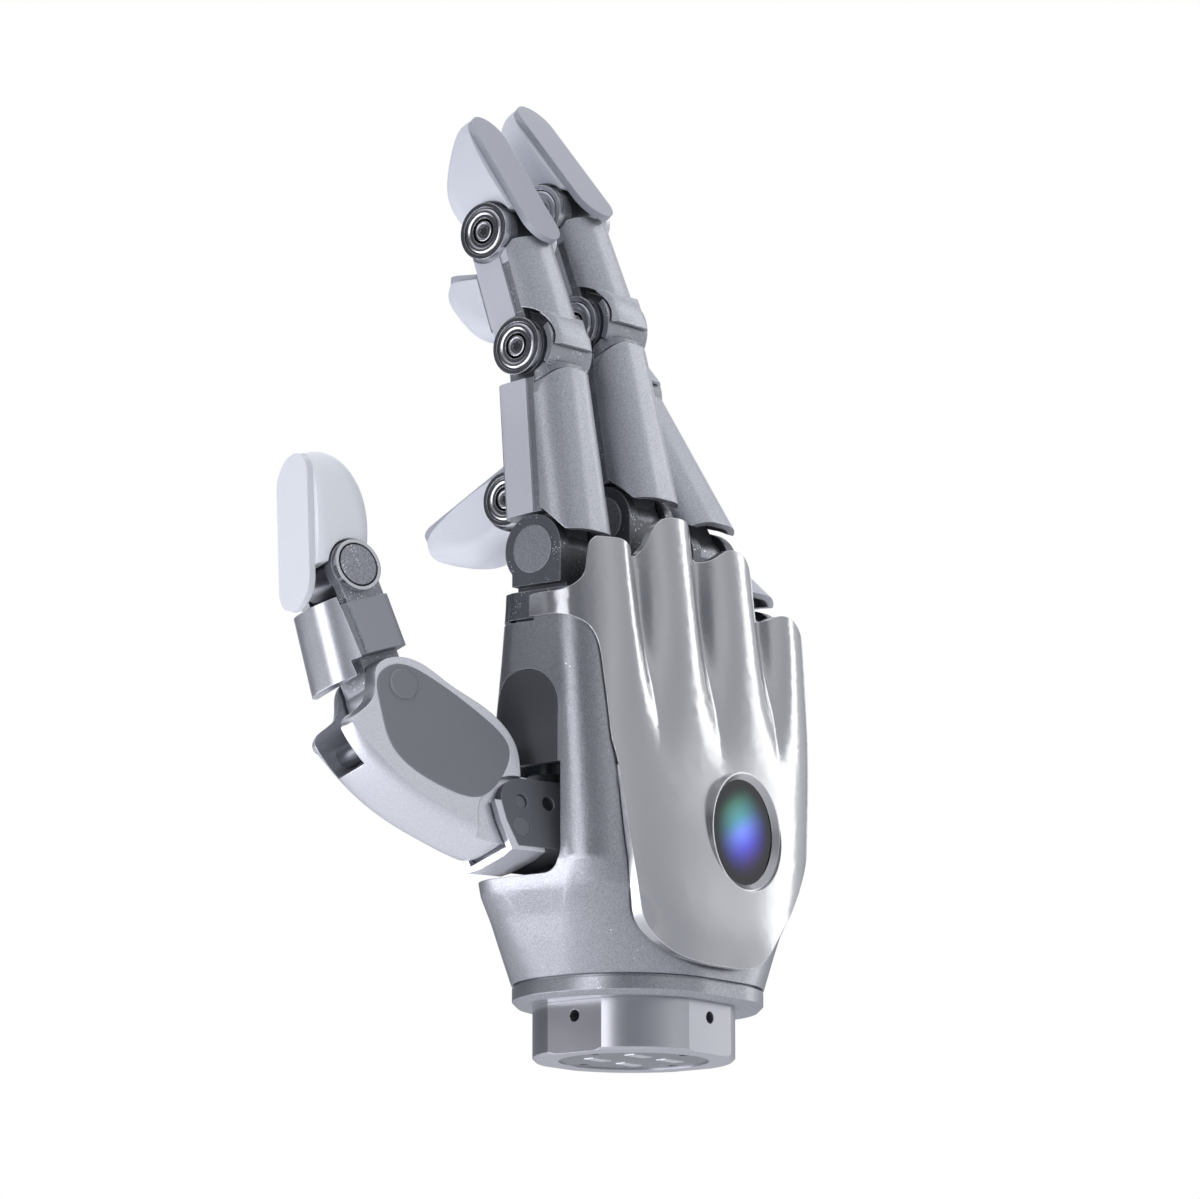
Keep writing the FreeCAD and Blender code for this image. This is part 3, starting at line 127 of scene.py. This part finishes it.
def wear_and_highlight_edges(t, base, rounded, edge):
    """Colour with its edges in the edge colour, partly rubbed wear and partly a painted highlight: where
    the rounded normal leaves the face's own normal.
    """
    flat = node(t, "ShaderNodeNewGeometry").outputs["Normal"]
    along = node(t, "ShaderNodeVectorMath", {0: rounded, 1: flat}, operation="DOT_PRODUCT")
    edge_wear_and_highlight = node(t, "ShaderNodeMapRange", {"Value": along.outputs["Value"], "From Min": 0.985,
                                         "From Max": 0.90, "To Min": 0.0, "To Max": 0.8})
    mix = node(t, "ShaderNodeMixRGB", {"Fac": edge_wear_and_highlight.outputs["Result"], "Color1": base, "Color2": rgb(edge)})
    return mix.outputs["Color"]


def painted_flake_glints(t, where, glint):
    """One where a flake is painted as a glint, else nought. A cell of the flake grid gets a painted glint if
    its random value is over a level, which slow noise lowers by the glint in patches where painted glints
    gather."""
    cell = node(t, "ShaderNodeTexVoronoi", {"Vector": where, "Scale": 1 / FLAKE})
    value = node(t, "ShaderNodeSeparateColor", {"Color": cell.outputs["Color"]}).outputs["Red"]
    patch = node(t, "ShaderNodeTexNoise", {"Vector": where, "Scale": GLINT_PATCHES_PER_M, "Detail": 2.0})
    level = node(t, "ShaderNodeMapRange", {"Value": patch.outputs["Fac"], "From Min": 0.42,
                                           "From Max": 0.62, "To Min": 1.02, "To Max": 1.0 - glint})
    return node(t, "ShaderNodeMath", {0: value, 1: level.outputs["Result"]},
                operation="GREATER_THAN").outputs["Value"]


def surface(name, colour, metallic=0.0, roughness=0.4, grain=0.0, size=0.2, drift=0.03, edge="",
            glint=0.0, coat=0.0, soft=0.0, dots=0.0, rings=0.0):
    """Principled surface. grain and size are the strength and the size in mm of its bump, drift
    the slow change in gloss, edge the colour of its edges, partly rubbed wear and partly a painted
    highlight, glint the share of flakes painted near-white as glints, soft the light that goes in,
    dots the height of a grid of dimples and rings that of fine turning marks."""
    m = bpy.data.materials.new(name)
    m.use_nodes = True
    t = m.node_tree
    p = t.nodes["Principled BSDF"]
    for key, value in (("Base Color", rgb(colour)), ("Metallic", metallic), ("Roughness", roughness),
                       ("Coat Weight", coat), ("Coat Roughness", 0.08)):
        p.inputs[key].default_value = value
    if soft:
        p.inputs["Subsurface Weight"].default_value = soft
        p.inputs["Subsurface Radius"].default_value = (1.0, 0.9, 0.85)
        p.inputs["Subsurface Scale"].default_value = 1.5 * MM

    where = node(t, "ShaderNodeTexCoord").outputs["Object"]
    clouds = node(t, "ShaderNodeTexNoise", {"Vector": where, "Scale": CLOUDS_PER_M, "Detail": 3.0})
    gloss = node(t, "ShaderNodeMapRange", {
        "Value": clouds.outputs["Fac"], "From Min": 0.3, "From Max": 0.7,
        "To Min": roughness - drift, "To Max": roughness + drift}).outputs["Result"]
    normal = node(t, "ShaderNodeBevel", {"Radius": EDGE_R}, samples=4).outputs["Normal"]
    base = rgb(colour)
    # Edges in the edge colour, partly rubbed wear and partly a painted highlight
    if edge:
        base = wear_and_highlight_edges(t, base, normal, edge)
    # Painted glints: the chosen flakes are painted near-white and made glossier
    if glint:
        painted_glint = painted_flake_glints(t, where, glint)
        base = node(t, "ShaderNodeMixRGB", {"Fac": painted_glint, "Color1": base,
                                            "Color2": rgb(PAINTED_GLINT_WHITE)}).outputs["Color"]
        gloss = node(t, "ShaderNodeMath", {0: painted_glint, 1: -0.15, 2: gloss},
                     operation="MULTIPLY_ADD").outputs["Value"]
    if grain:
        fine = node(t, "ShaderNodeTexNoise", {"Vector": where, "Scale": 1 / (size * MM), "Detail": 2.0})
        tone = node(t, "ShaderNodeMapRange", {
            "Value": fine.outputs["Fac"], "From Min": 0.3, "From Max": 0.7,
            "To Min": 1.0 - 0.3 * grain, "To Max": 1.0 + 0.3 * grain}).outputs["Result"]
        base = node(t, "ShaderNodeMixRGB", {"Fac": 1.0, "Color1": base, "Color2": tone},
                    blend_type="MULTIPLY").outputs["Color"]
        normal = node(t, "ShaderNodeBump", {"Height": fine.outputs["Fac"], "Normal": normal,
                                            "Strength": grain, "Distance": 0.06 * MM}).outputs["Normal"]
    if dots:
        grid = node(t, "ShaderNodeTexVoronoi", {"Vector": where, "Scale": 1 / DIMPLE_PITCH,
                                                "Randomness": 0.0})
        dip = node(t, "ShaderNodeMapRange", {"Value": grid.outputs["Distance"], "From Min": 0.15,
                                             "From Max": 0.45}).outputs["Result"]
        normal = node(t, "ShaderNodeBump", {"Height": dip, "Normal": normal, "Strength": dots,
                                            "Distance": 0.1 * MM}).outputs["Normal"]
    if rings:
        spin = node(t, "ShaderNodeTexWave", {"Vector": where, "Scale": 1 / TURNING_PITCH, "Distortion": 1.5},
                    bands_direction="Z")
        normal = node(t, "ShaderNodeBump", {"Height": spin.outputs["Fac"], "Normal": normal,
                                            "Strength": rings, "Distance": 0.03 * MM}).outputs["Normal"]
    for key, value in (("Base Color", base), ("Roughness", gloss), ("Normal", normal)):
        feed(t, p.inputs[key], value)
    return m


# Grain sizes are in mm, coarser than real flake and grit, so that they show from the photograph's distance
# Edge colours are partly rubbed wear and partly a painted highlight; glint is the share of flakes painted
# near-white as glints
M = {
    # Aluminium-flake paint, sprayed on a cast magnesium housing: a soft silver sheen with fine flake, a few
    # flakes painted white as glints
    "satin": surface("flake paint", "a2a3a8", 0.85, 0.35, grain=0.6, size=0.34, edge="b9bbc6", glint=0.006),
    # The same paint with coarser flake on the link frames: patches of flakes painted white as glints, paler
    # edges, partly rubbed wear and partly a painted highlight
    "sparkle": surface("coarse flake paint", "929499", 0.8, 0.42, grain=0.5, size=0.36, edge="c6c8d2",
                       glint=0.05),
    # The same paint on the knuckles and the housing's mouth, darkened as painted shade, with flakes painted
    # white as glints
    "shaded flake": surface("flake paint with painted shade", "65676c", 0.8, 0.42, grain=0.5, size=0.36, edge="b0b2bb", glint=0.05),
    # Pearl silver lacquer under a polished clear coat: long clean highlights down the ridges, and near-white
    # edges, partly rubbed wear and partly a painted highlight
    "cover": surface("pearl lacquer", "b6b6b8", 0.85, 0.2, grain=0.015, size=0.3, drift=0.02, edge="f2f2f6",
                     coat=0.45),
    # Aluminium, bead-blasted and clear anodised: broad highlights, a fine even grain
    "shell": surface("blasted anodised aluminium", "b2b4b9", 0.75, 0.42, grain=0.6, size=0.34, edge="dfe0e5"),
    # The thumb's metal shells, blasted finer: nearly white where they face a lamp
    "bright": surface("bright anodised aluminium", "dcdde2", 0.88, 0.30, grain=0.3, size=0.32, edge="eceef4"),
    # Glass-filled nylon, moulded against a spark-eroded tool: even dark grey, dull
    "dark": surface("moulded dark nylon", "66686d", 0.15, 0.44, grain=0.12, size=0.3, edge="9a9ca4"),
    # The side panel, moulded in the same nylon: a darker patch in the silver housing
    "panel": surface("moulded charcoal nylon", "434549", 0.15, 0.44, grain=0.12, size=0.3, edge="74767c"),
    # The thumb's cover plate, moulded in the same nylon: mid grey, with its rim painted pale, partly rubbed
    # wear and partly a painted highlight
    "plate": surface("moulded grey nylon", "828489", 0.2, 0.40, grain=0.10, size=0.3, edge="c4c5cb"),
    # Side pads of the links, moulded in polycarbonate with a light texture: pale and satin, with white edges,
    # partly rubbed wear and partly a painted highlight
    "pad": surface("moulded polycarbonate", "c0c1c8", 0.1, 0.42, grain=0.10, size=0.4, edge="f0f1f6"),
    # Side pads of the thumb, moulded in the same polycarbonate: mid grey
    "thumb pad": surface("moulded grey polycarbonate", "999ba1", 0.1, 0.42, grain=0.10, size=0.4,
                         edge="b4b6bd"),
    # Aluminium, turned and anodised: faint turning marks round the boss, drawn coarser than real ones
    "boss": surface("turned aluminium", "bcbcc1", 0.9, 0.30, edge="b0b0b8", rings=0.12),
    # Stainless steel, ground and polished: sharp bright rings on the caps
    "chrome": surface("polished stainless steel", "cfcfd3", 1.0, 0.22, drift=0.03),
    # Carbon steel, turned and oiled: dark grey with a metal shine
    "steel": surface("turned dark steel", "77787e", 0.9, 0.30, edge="a4a5ab"),
    # Steel powder, pressed and sintered: a rough disc, many of its grains painted white as glints
    "speckle": surface("sintered steel", "9b9ba2", 1.0, 0.32, grain=1.0, size=0.35, glint=0.22),
    # Silicone, cast with a matt skin: light goes in a little, and fine dimples dull it
    "tip": surface("matt silicone", "d4d6dd", 0.0, 0.52, soft=0.2, dots=0.25),
    # The thumb's tip, the same silicone painted whiter as painted light, since the thumb is lit: the palest
    # piece of the hand
    "painted lit tip": surface("matt silicone, painted lit", "f0f2f6", 0.0, 0.50, soft=0.2, dots=0.25),
    # Nails, moulded in polycarbonate: smooth and satin, a shade darker than the tips
    "nail": surface("satin polycarbonate", "a8aab2", 0.0, 0.38, grain=0.08, size=0.3, edge="dcdee6"),
    # The thumb's nail, the same polycarbonate painted whiter as painted light, since the thumb is lit: nearly
    # the colour of its tip
    "painted lit nail": surface("satin polycarbonate, painted lit", "dfe1e6", 0.0, 0.36, grain=0.08, size=0.3,
                          edge="f4f5f8"),
    # Flat black, painted shade in the caps' wells, in the screw sockets and in the thin ring round the thumb
    # cap's disc
    "black": surface("black painted shade", "1b1c20", 0.0, 0.5),
    # Brass, nickel-plated: bright contacts, flush in a dark plate
    "contact": surface("nickel plate", "dcdce0", 1.0, 0.2),
}


def lens_material():
    """Dark tinted glass, polished, that glows from behind: teal at the top, violet at the bottom,
    and dark towards its rim."""
    m = bpy.data.materials.new("dark tinted glass")
    m.use_nodes = True
    t = m.node_tree
    p = t.nodes["Principled BSDF"]
    low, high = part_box("window_lens")
    where = node(t, "ShaderNodeTexCoord").outputs["Object"]
    local = node(t, "ShaderNodeVectorMath", {0: where, 1: (low + high) / 2},
                 operation="SUBTRACT").outputs["Vector"]
    slant = node(t, "ShaderNodeVectorMath", {0: local, 1: (-0.45, 0.0, 0.9)}, operation="DOT_PRODUCT")
    height = node(t, "ShaderNodeMapRange", {"Value": slant.outputs["Value"], "From Min": -11.0 * MM,
                                            "From Max": 11.0 * MM})
    ramp = node(t, "ShaderNodeValToRGB", {"Fac": height.outputs["Result"]})
    stops = ramp.color_ramp.elements
    stops[0].position, stops[0].color = 0.0, rgb("120a30")
    stops[1].position, stops[1].color = 1.0, rgb("0a3b35")
    for at, code in ((0.14, "5b3a9c"), (0.34, "5a57e6"), (0.5, "6f86f0"), (0.64, "57a6b8"), (0.8, "6cc4ae")):
        stops.new(at).color = rgb(code)
    reach = node(t, "ShaderNodeVectorMath", {0: local}, operation="LENGTH")
    fade = node(t, "ShaderNodeMapRange", {
        "Value": reach.outputs["Value"], "From Min": -1.0 * MM, "From Max": 10.2 * MM,
        "To Min": 1.25, "To Max": 0.0}, interpolation_type="SMOOTHSTEP")
    for key, value in (("Base Color", rgb("05070f")), ("Roughness", 0.07), ("IOR", 1.2),
                       ("Emission Color", ramp.outputs["Color"]),
                       ("Emission Strength", fade.outputs["Result"])):
        feed(t, p.inputs[key], value)
    return m


M["lens"] = lens_material()
# Knuckles and their chassis take the flake paint darkened as painted shade; the thumb's tip and nail take
# copies painted lighter as painted light
FINISH = {
    "palm_housing": "satin", "palm_plate": "satin", "wrist_flange": "satin", "back_cover": "cover",
    "window_bezel": "cover", "window_lens": "lens", "side_panel": "panel", "wrist_boss": "boss",
    "contact_plate": "steel", "contact_pads": "contact", "knuckle_chassis": "shaded flake", "finger_drives": "steel",
    "thumb_bracket": "dark", "thumb_yoke": "bright", "thumb_metacarpal_cover": "plate",
    "thumb_metacarpal_shell": "bright", "thumb_proximal_shell": "bright", "thumb_pins": "steel",
    "thumb_bracket_screws": "steel", "thumb_tip": "painted lit tip", "thumb_nail": "painted lit nail",
}
FINISH_BY_ENDING = {
    "_knuckle": "shaded flake", "_knuckle_pin": "satin", "_shell": "shell", "_frame": "sparkle", "tip": "tip",
    "_nail": "nail",
}


def finish_of(name):
    """A node's finish: its own, else that of its kind, else the polished steel of caps and pins."""
    if name in FINISH:
        return FINISH[name]
    return next((f for ending, f in FINISH_BY_ENDING.items() if name.endswith(ending)), "chrome")


def skin(name):
    """A node's own surface with its loose triangles joined, smooth between its sharp edges."""
    mesh = NODES[name].data.copy()
    for key in ("custom_normal", "sharp_edge", "sharp_face"):
        if key in mesh.attributes:
            mesh.attributes.remove(mesh.attributes[key])
    bm = bmesh.new()
    bm.from_mesh(mesh)
    bmesh.ops.remove_doubles(bm, verts=bm.verts, dist=WELD)
    bm.to_mesh(mesh)
    bm.free()
    mesh.materials.clear()
    mesh.materials.append(M[finish_of(name)])
    mesh.shade_smooth()
    mesh.set_sharp_from_angle(angle=math.radians(CREASE_OF.get(name, CREASE_DEG)))
    obj = bpy.data.objects.new(name + "_skin", mesh)
    bpy.context.scene.collection.objects.link(obj)
    even = obj.modifiers.new("even", "WEIGHTED_NORMAL")
    even.keep_sharp = True
    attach(obj, BODY_OF[name])
    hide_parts(name)
    return obj


SKINS = {name: skin(name) for name in NODES}


def face_centres(name):
    """The middle of each face of a skin."""
    mesh = SKINS[name].data
    out = np.empty(len(mesh.polygons) * 3)
    mesh.polygons.foreach_get("center", out)
    return out.reshape(-1, 3)


def repaint(name, finish, chosen):
    """Gives the chosen faces of a skin another finish."""
    mesh = SKINS[name].data
    mesh.materials.append(M[finish])
    slots = np.empty(len(mesh.polygons), dtype=np.int32)
    mesh.polygons.foreach_get("material_index", slots)
    slots[chosen] = len(mesh.materials) - 1
    mesh.polygons.foreach_set("material_index", slots)


def hinge(name):
    """A joint's place and its axis."""
    return np.array(JOINTS[name]["pos_m"]), np.array(JOINTS[name]["axis"])


def from_hinge(points, joint):
    """Distance of each point from a joint's axis."""
    origin, axis = hinge(joint)
    along = (points - origin) @ axis
    return np.linalg.norm(points - origin - np.outer(along, axis), axis=1)


def paint_pads(name, low_joint, high_joint, half_low, half_high, finish):
    """The raised side pads of a link. They are the faces beyond half its width, which changes
    evenly from joint to joint, and outside the caps on both joints."""
    a, axis = hinge(low_joint)
    b, _ = hinge(high_joint)
    points = face_centres(name)
    length = np.linalg.norm(b - a)
    share = (points - a) @ (b - a) / length ** 2
    half = half_low + (half_high - half_low) * share
    beyond = np.abs((points - a) @ axis) > half - PAD_PROUD + NEAR
    reach = np.minimum(from_hinge(points, low_joint), from_hinge(points, high_joint))
    repaint(name, finish, beyond & (reach > CAP_R + 0.5 * MM))


for f in FINGERS:
    paint_pads(f + "_proximal_frame", f + "_base", f + "_middle", BASE_HALF, MIDDLE_HALF, "pad")
    paint_pads(f + "_middle_frame", f + "_middle", f + "_tip", MIDDLE_HALF, TIP_HALF, "pad")
    centres = face_centres(f + "_fingertip")
    repaint(f + "_fingertip", "steel", from_hinge(centres, f + "_tip") < EAR_R + 0.1 * MM)
    centres = face_centres(f + "_joint_caps")
    reach = np.minimum(from_hinge(centres, f + "_middle"), from_hinge(centres, f + "_tip"))
    repaint(f + "_joint_caps", "steel", (reach > CAP_GROOVE[0]) & (reach < CAP_GROOVE[1]))
    # Painted shade: the wells of the caps are painted black
    repaint(f + "_joint_caps", "black", reach < CAP_WELL_R)
paint_pads("thumb_proximal_frame", "thumb_middle", "thumb_tip", THUMB_HALF, MIDDLE_HALF, "thumb pad")
repaint("thumb_tip", "steel", from_hinge(face_centres("thumb_tip"), "thumb_tip") < THUMB_EAR_R)
reach = from_hinge(face_centres("thumb_joint_caps"), "thumb_tip")
disc_r = THUMB_RIM_R - NEAR - THUMB_RING
repaint("thumb_joint_caps", "speckle", reach < disc_r)
# Painted shade: a thin black ring round the thumb cap's disc
repaint("thumb_joint_caps", "black", (reach > disc_r) & (reach < THUMB_RIM_R - NEAR))
# Painted shade: the housing's mouth, above its seam, takes the darkened flake paint
repaint("palm_housing", "shaded flake", face_centres("palm_housing")[:, 2] > HOUSING_MOUTH_Z)

# Turned face of an axle cap, from its rim to the screw's socket: radius and height in mm, and the
# finish of the band that starts there
# The black bands are painted shade in the well round the hub and in the screw's socket
CAP_PROFILE = (
    (4.75, 0.00, "chrome"), (4.62, 0.16, "chrome"), (4.35, 0.26, "chrome"), (4.05, 0.28, "chrome"),
    (3.75, 0.22, "chrome"), (3.45, 0.05, "chrome"), (3.15, -0.02, "chrome"), (2.95, -0.02, "chrome"),
    (2.82, 0.0, "chrome"), (2.72, -0.1, "black"), (2.68, -0.7, "black"), (2.2, -0.7, "black"),
    (2.16, -0.1, "chrome"), (2.1, 0.12, "chrome"), (1.9, 0.2, "chrome"), (1.72, 0.18, "chrome"),
    (1.62, 0.02, "steel"), (1.5, -0.04, "steel"), (1.3, -0.04, "steel"),
)
# The socket's rings below it: share of its radius, what comes off that in mm, height and finish
SOCKET_PROFILE = ((1.0, 0.0, -0.04, "steel"), (1.0, 0.06, -0.7, "black"), (0.2, 0.0, -0.72, "black"))
SOCKET_R = 0.95
SOCKET_LOBE = 0.16
CAP_STEPS = 48
CAP_FINISHES = ("chrome", "black", "steel")


def cap_trim(finger):
    """Turned rings and a screw on both ends of a finger's two axles. Each is a profile of radius
    and height, turned about the axle. In the screw's socket the radius follows
    0.95 + 0.16 cos(6 turn) mm, which gives six lobes."""
    turn = np.arange(CAP_STEPS) * 2 * math.pi / CAP_STEPS
    socket = SOCKET_R + SOCKET_LOBE * np.cos(6 * turn)
    radii = np.array([np.full(CAP_STEPS, row[0]) for row in CAP_PROFILE]
                     + [socket * share - off for share, off, _, _ in SOCKET_PROFILE])
    heights = np.array([row[-2] for row in CAP_PROFILE + SOCKET_PROFILE])
    ring = np.arange(CAP_STEPS)
    after = (ring + 1) % CAP_STEPS
    outer = np.arange(len(radii) - 1)[:, None] * CAP_STEPS
    inner = outer + CAP_STEPS
    bands = np.stack([outer + after, inner + after, inner + ring, outer + ring], axis=2).reshape(-1, 4)
    floor_ring = radii.size - 1 - ring
    kinds = [CAP_FINISHES.index(row[-1]) for row in CAP_PROFILE + SOCKET_PROFILE]
    slots = np.append(np.repeat(kinds[:-1], CAP_STEPS), kinds[-1])

    verts, faces = [], []
    for joint in ("middle", "tip"):
        origin, axis = hinge(finger + "_" + joint)
        across = np.array(Vector(axis).orthogonal().normalized())
        up = np.cross(axis, across)
        for side in (-1, 1):
            first = len(verts) * radii.size
            spread = across * np.cos(turn)[:, None] + up * side * np.sin(turn)[:, None]
            lift = EAR_OUT + CAP_H - 0.1 * MM + heights * MM
            points = radii[:, :, None] * MM * spread + (origin + side * lift[:, None] * axis)[:, None]
            verts.append(points.reshape(-1, 3))
            faces += (bands + first).tolist() + [(floor_ring + first).tolist()]
    mesh = bpy.data.meshes.new(finger + "_cap_trim")
    mesh.from_pydata(np.concatenate(verts).tolist(), [], faces)
    for finish in CAP_FINISHES:
        mesh.materials.append(M[finish])
    mesh.polygons.foreach_set("material_index", np.tile(slots, len(verts)).astype(np.int32))
    mesh.shade_smooth()
    mesh.set_sharp_from_angle(angle=math.radians(50))
    obj = bpy.data.objects.new(finger + "_cap_trim", mesh)
    bpy.context.scene.collection.objects.link(obj)
    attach(obj, BODY_OF[finger + "_joint_caps"])


for f in FINGERS:
    cap_trim(f)

# Camera where the photograph was taken from, level with the boss and looking up
EYE = Vector((-1.1314, -0.88147, -0.16909))
AHEAD = Vector((0.77270, 0.60805, 0.18224)).normalized()
RIGHT = Vector((0.61841, -0.78586, 0.0)).normalized()
ABOVE = RIGHT.cross(AHEAD)
UP = Vector((0.0, 0.0, 1.0))
camera = bpy.data.objects.new("camera", bpy.data.cameras.new("camera"))
bpy.context.scene.collection.objects.link(camera)
camera.matrix_world = Matrix((
    (RIGHT.x, ABOVE.x, -AHEAD.x, EYE.x), (RIGHT.y, ABOVE.y, -AHEAD.y, EYE.y),
    (RIGHT.z, ABOVE.z, -AHEAD.z, EYE.z), (0, 0, 0, 1)))
camera.data.lens = 210.0
camera.data.sensor_width = 36.0
camera.data.clip_end = 20.0
bpy.context.scene.camera = camera


def floor(height, size):
    """Plain pale floor below the hand, which hangs in the air as in the photograph."""
    mesh = bpy.data.meshes.new("floor")
    s = size / 2
    mesh.from_pydata([(-s, -s, height), (s, -s, height), (s, s, height), (-s, s, height)], [], [(0, 1, 2, 3)])
    mesh.materials.append(surface("pale studio floor", "f3f3f5", 0.0, 0.7, drift=0.05))
    obj = bpy.data.objects.new("floor", mesh)
    bpy.context.scene.collection.objects.link(obj)


floor(-0.4, 12.0)


def softbox(name, direction, distance, width, height, power, tint):
    """Area light that faces the hand from a direction. Sizes are metres, its power watts."""
    light = bpy.data.lights.new(name, "AREA")
    light.shape = "RECTANGLE"
    light.size, light.size_y = width, height
    light.energy = power
    light.color = rgb(tint)[:3]
    obj = bpy.data.objects.new(name, light)
    bpy.context.scene.collection.objects.link(obj)
    d = direction.normalized()
    obj.location = UP * 0.1 + d * distance
    obj.rotation_euler = (-d).to_track_quat("-Z", "Y").to_euler()


softbox("low left", -RIGHT - AHEAD * 0.15 - UP * 0.5, 0.9, 0.7, 0.6, 4.5, "f6f7fc")
softbox("left key", -RIGHT * 0.65 - AHEAD * 0.76 - UP * 0.1, 0.9, 0.45, 1.1, 4.0, "f6f7fc")
softbox("right rim", RIGHT + AHEAD * 0.5 + UP * 0.15, 0.9, 0.25, 1.2, 1.8, "ffffff")
softbox("top", UP + AHEAD * 0.2, 0.9, 0.7, 0.7, 1.5, "ffffff")
softbox("palm fill", AHEAD + UP * 0.35, 1.2, 1.0, 1.0, 3.0, "f6f7fc")


def world():
    """White where the camera looks. The surfaces see a studio, dark on the left and pale on the
    right, with a lit ceiling."""
    w = bpy.data.worlds.new("studio")
    bpy.context.scene.world = w
    w.use_nodes = True
    t = w.node_tree
    t.nodes.clear()
    way = node(t, "ShaderNodeTexCoord").outputs["Generated"]
    side = node(t, "ShaderNodeVectorMath", {0: way, 1: RIGHT}, operation="DOT_PRODUCT")
    half = node(t, "ShaderNodeMapRange", {"Value": side.outputs["Value"], "From Min": -1.0})
    band = node(t, "ShaderNodeValToRGB", {"Fac": half.outputs["Result"]})
    stops = band.color_ramp.elements
    stops[0].position, stops[0].color = 0.0, rgb("3a3c42")
    stops[1].position, stops[1].color = 1.0, rgb("c4c7ce")
    for at, code in ((0.12, "44474e"), (0.28, "6d7178"), (0.50, "72757d"), (0.70, "a2a5ac"),
                     (0.88, "e6e8ec")):
        stops.new(at).color = rgb(code)
    height = node(t, "ShaderNodeSeparateXYZ", {"Vector": way}).outputs["Z"]
    above = node(t, "ShaderNodeMapRange", {"Value": height, "From Min": 0.35, "From Max": 0.8},
                 interpolation_type="SMOOTHSTEP").outputs["Result"]
    studio = node(t, "ShaderNodeMixRGB", {"Fac": above, "Color1": band.outputs["Color"],
                                          "Color2": (0.75, 0.77, 0.82, 1.0)}).outputs["Color"]
    seen = node(t, "ShaderNodeLightPath").outputs["Is Camera Ray"]
    grey = node(t, "ShaderNodeBackground", {"Color": studio, "Strength": 1.0}).outputs[0]
    white = node(t, "ShaderNodeBackground", {"Color": (1, 1, 1, 1), "Strength": 1.0}).outputs[0]
    mix = node(t, "ShaderNodeMixShader", {0: seen, 1: grey, 2: white}).outputs[0]
    node(t, "ShaderNodeOutputWorld", {"Surface": mix})


world()
bpy.context.scene.view_settings.view_transform = "Standard"
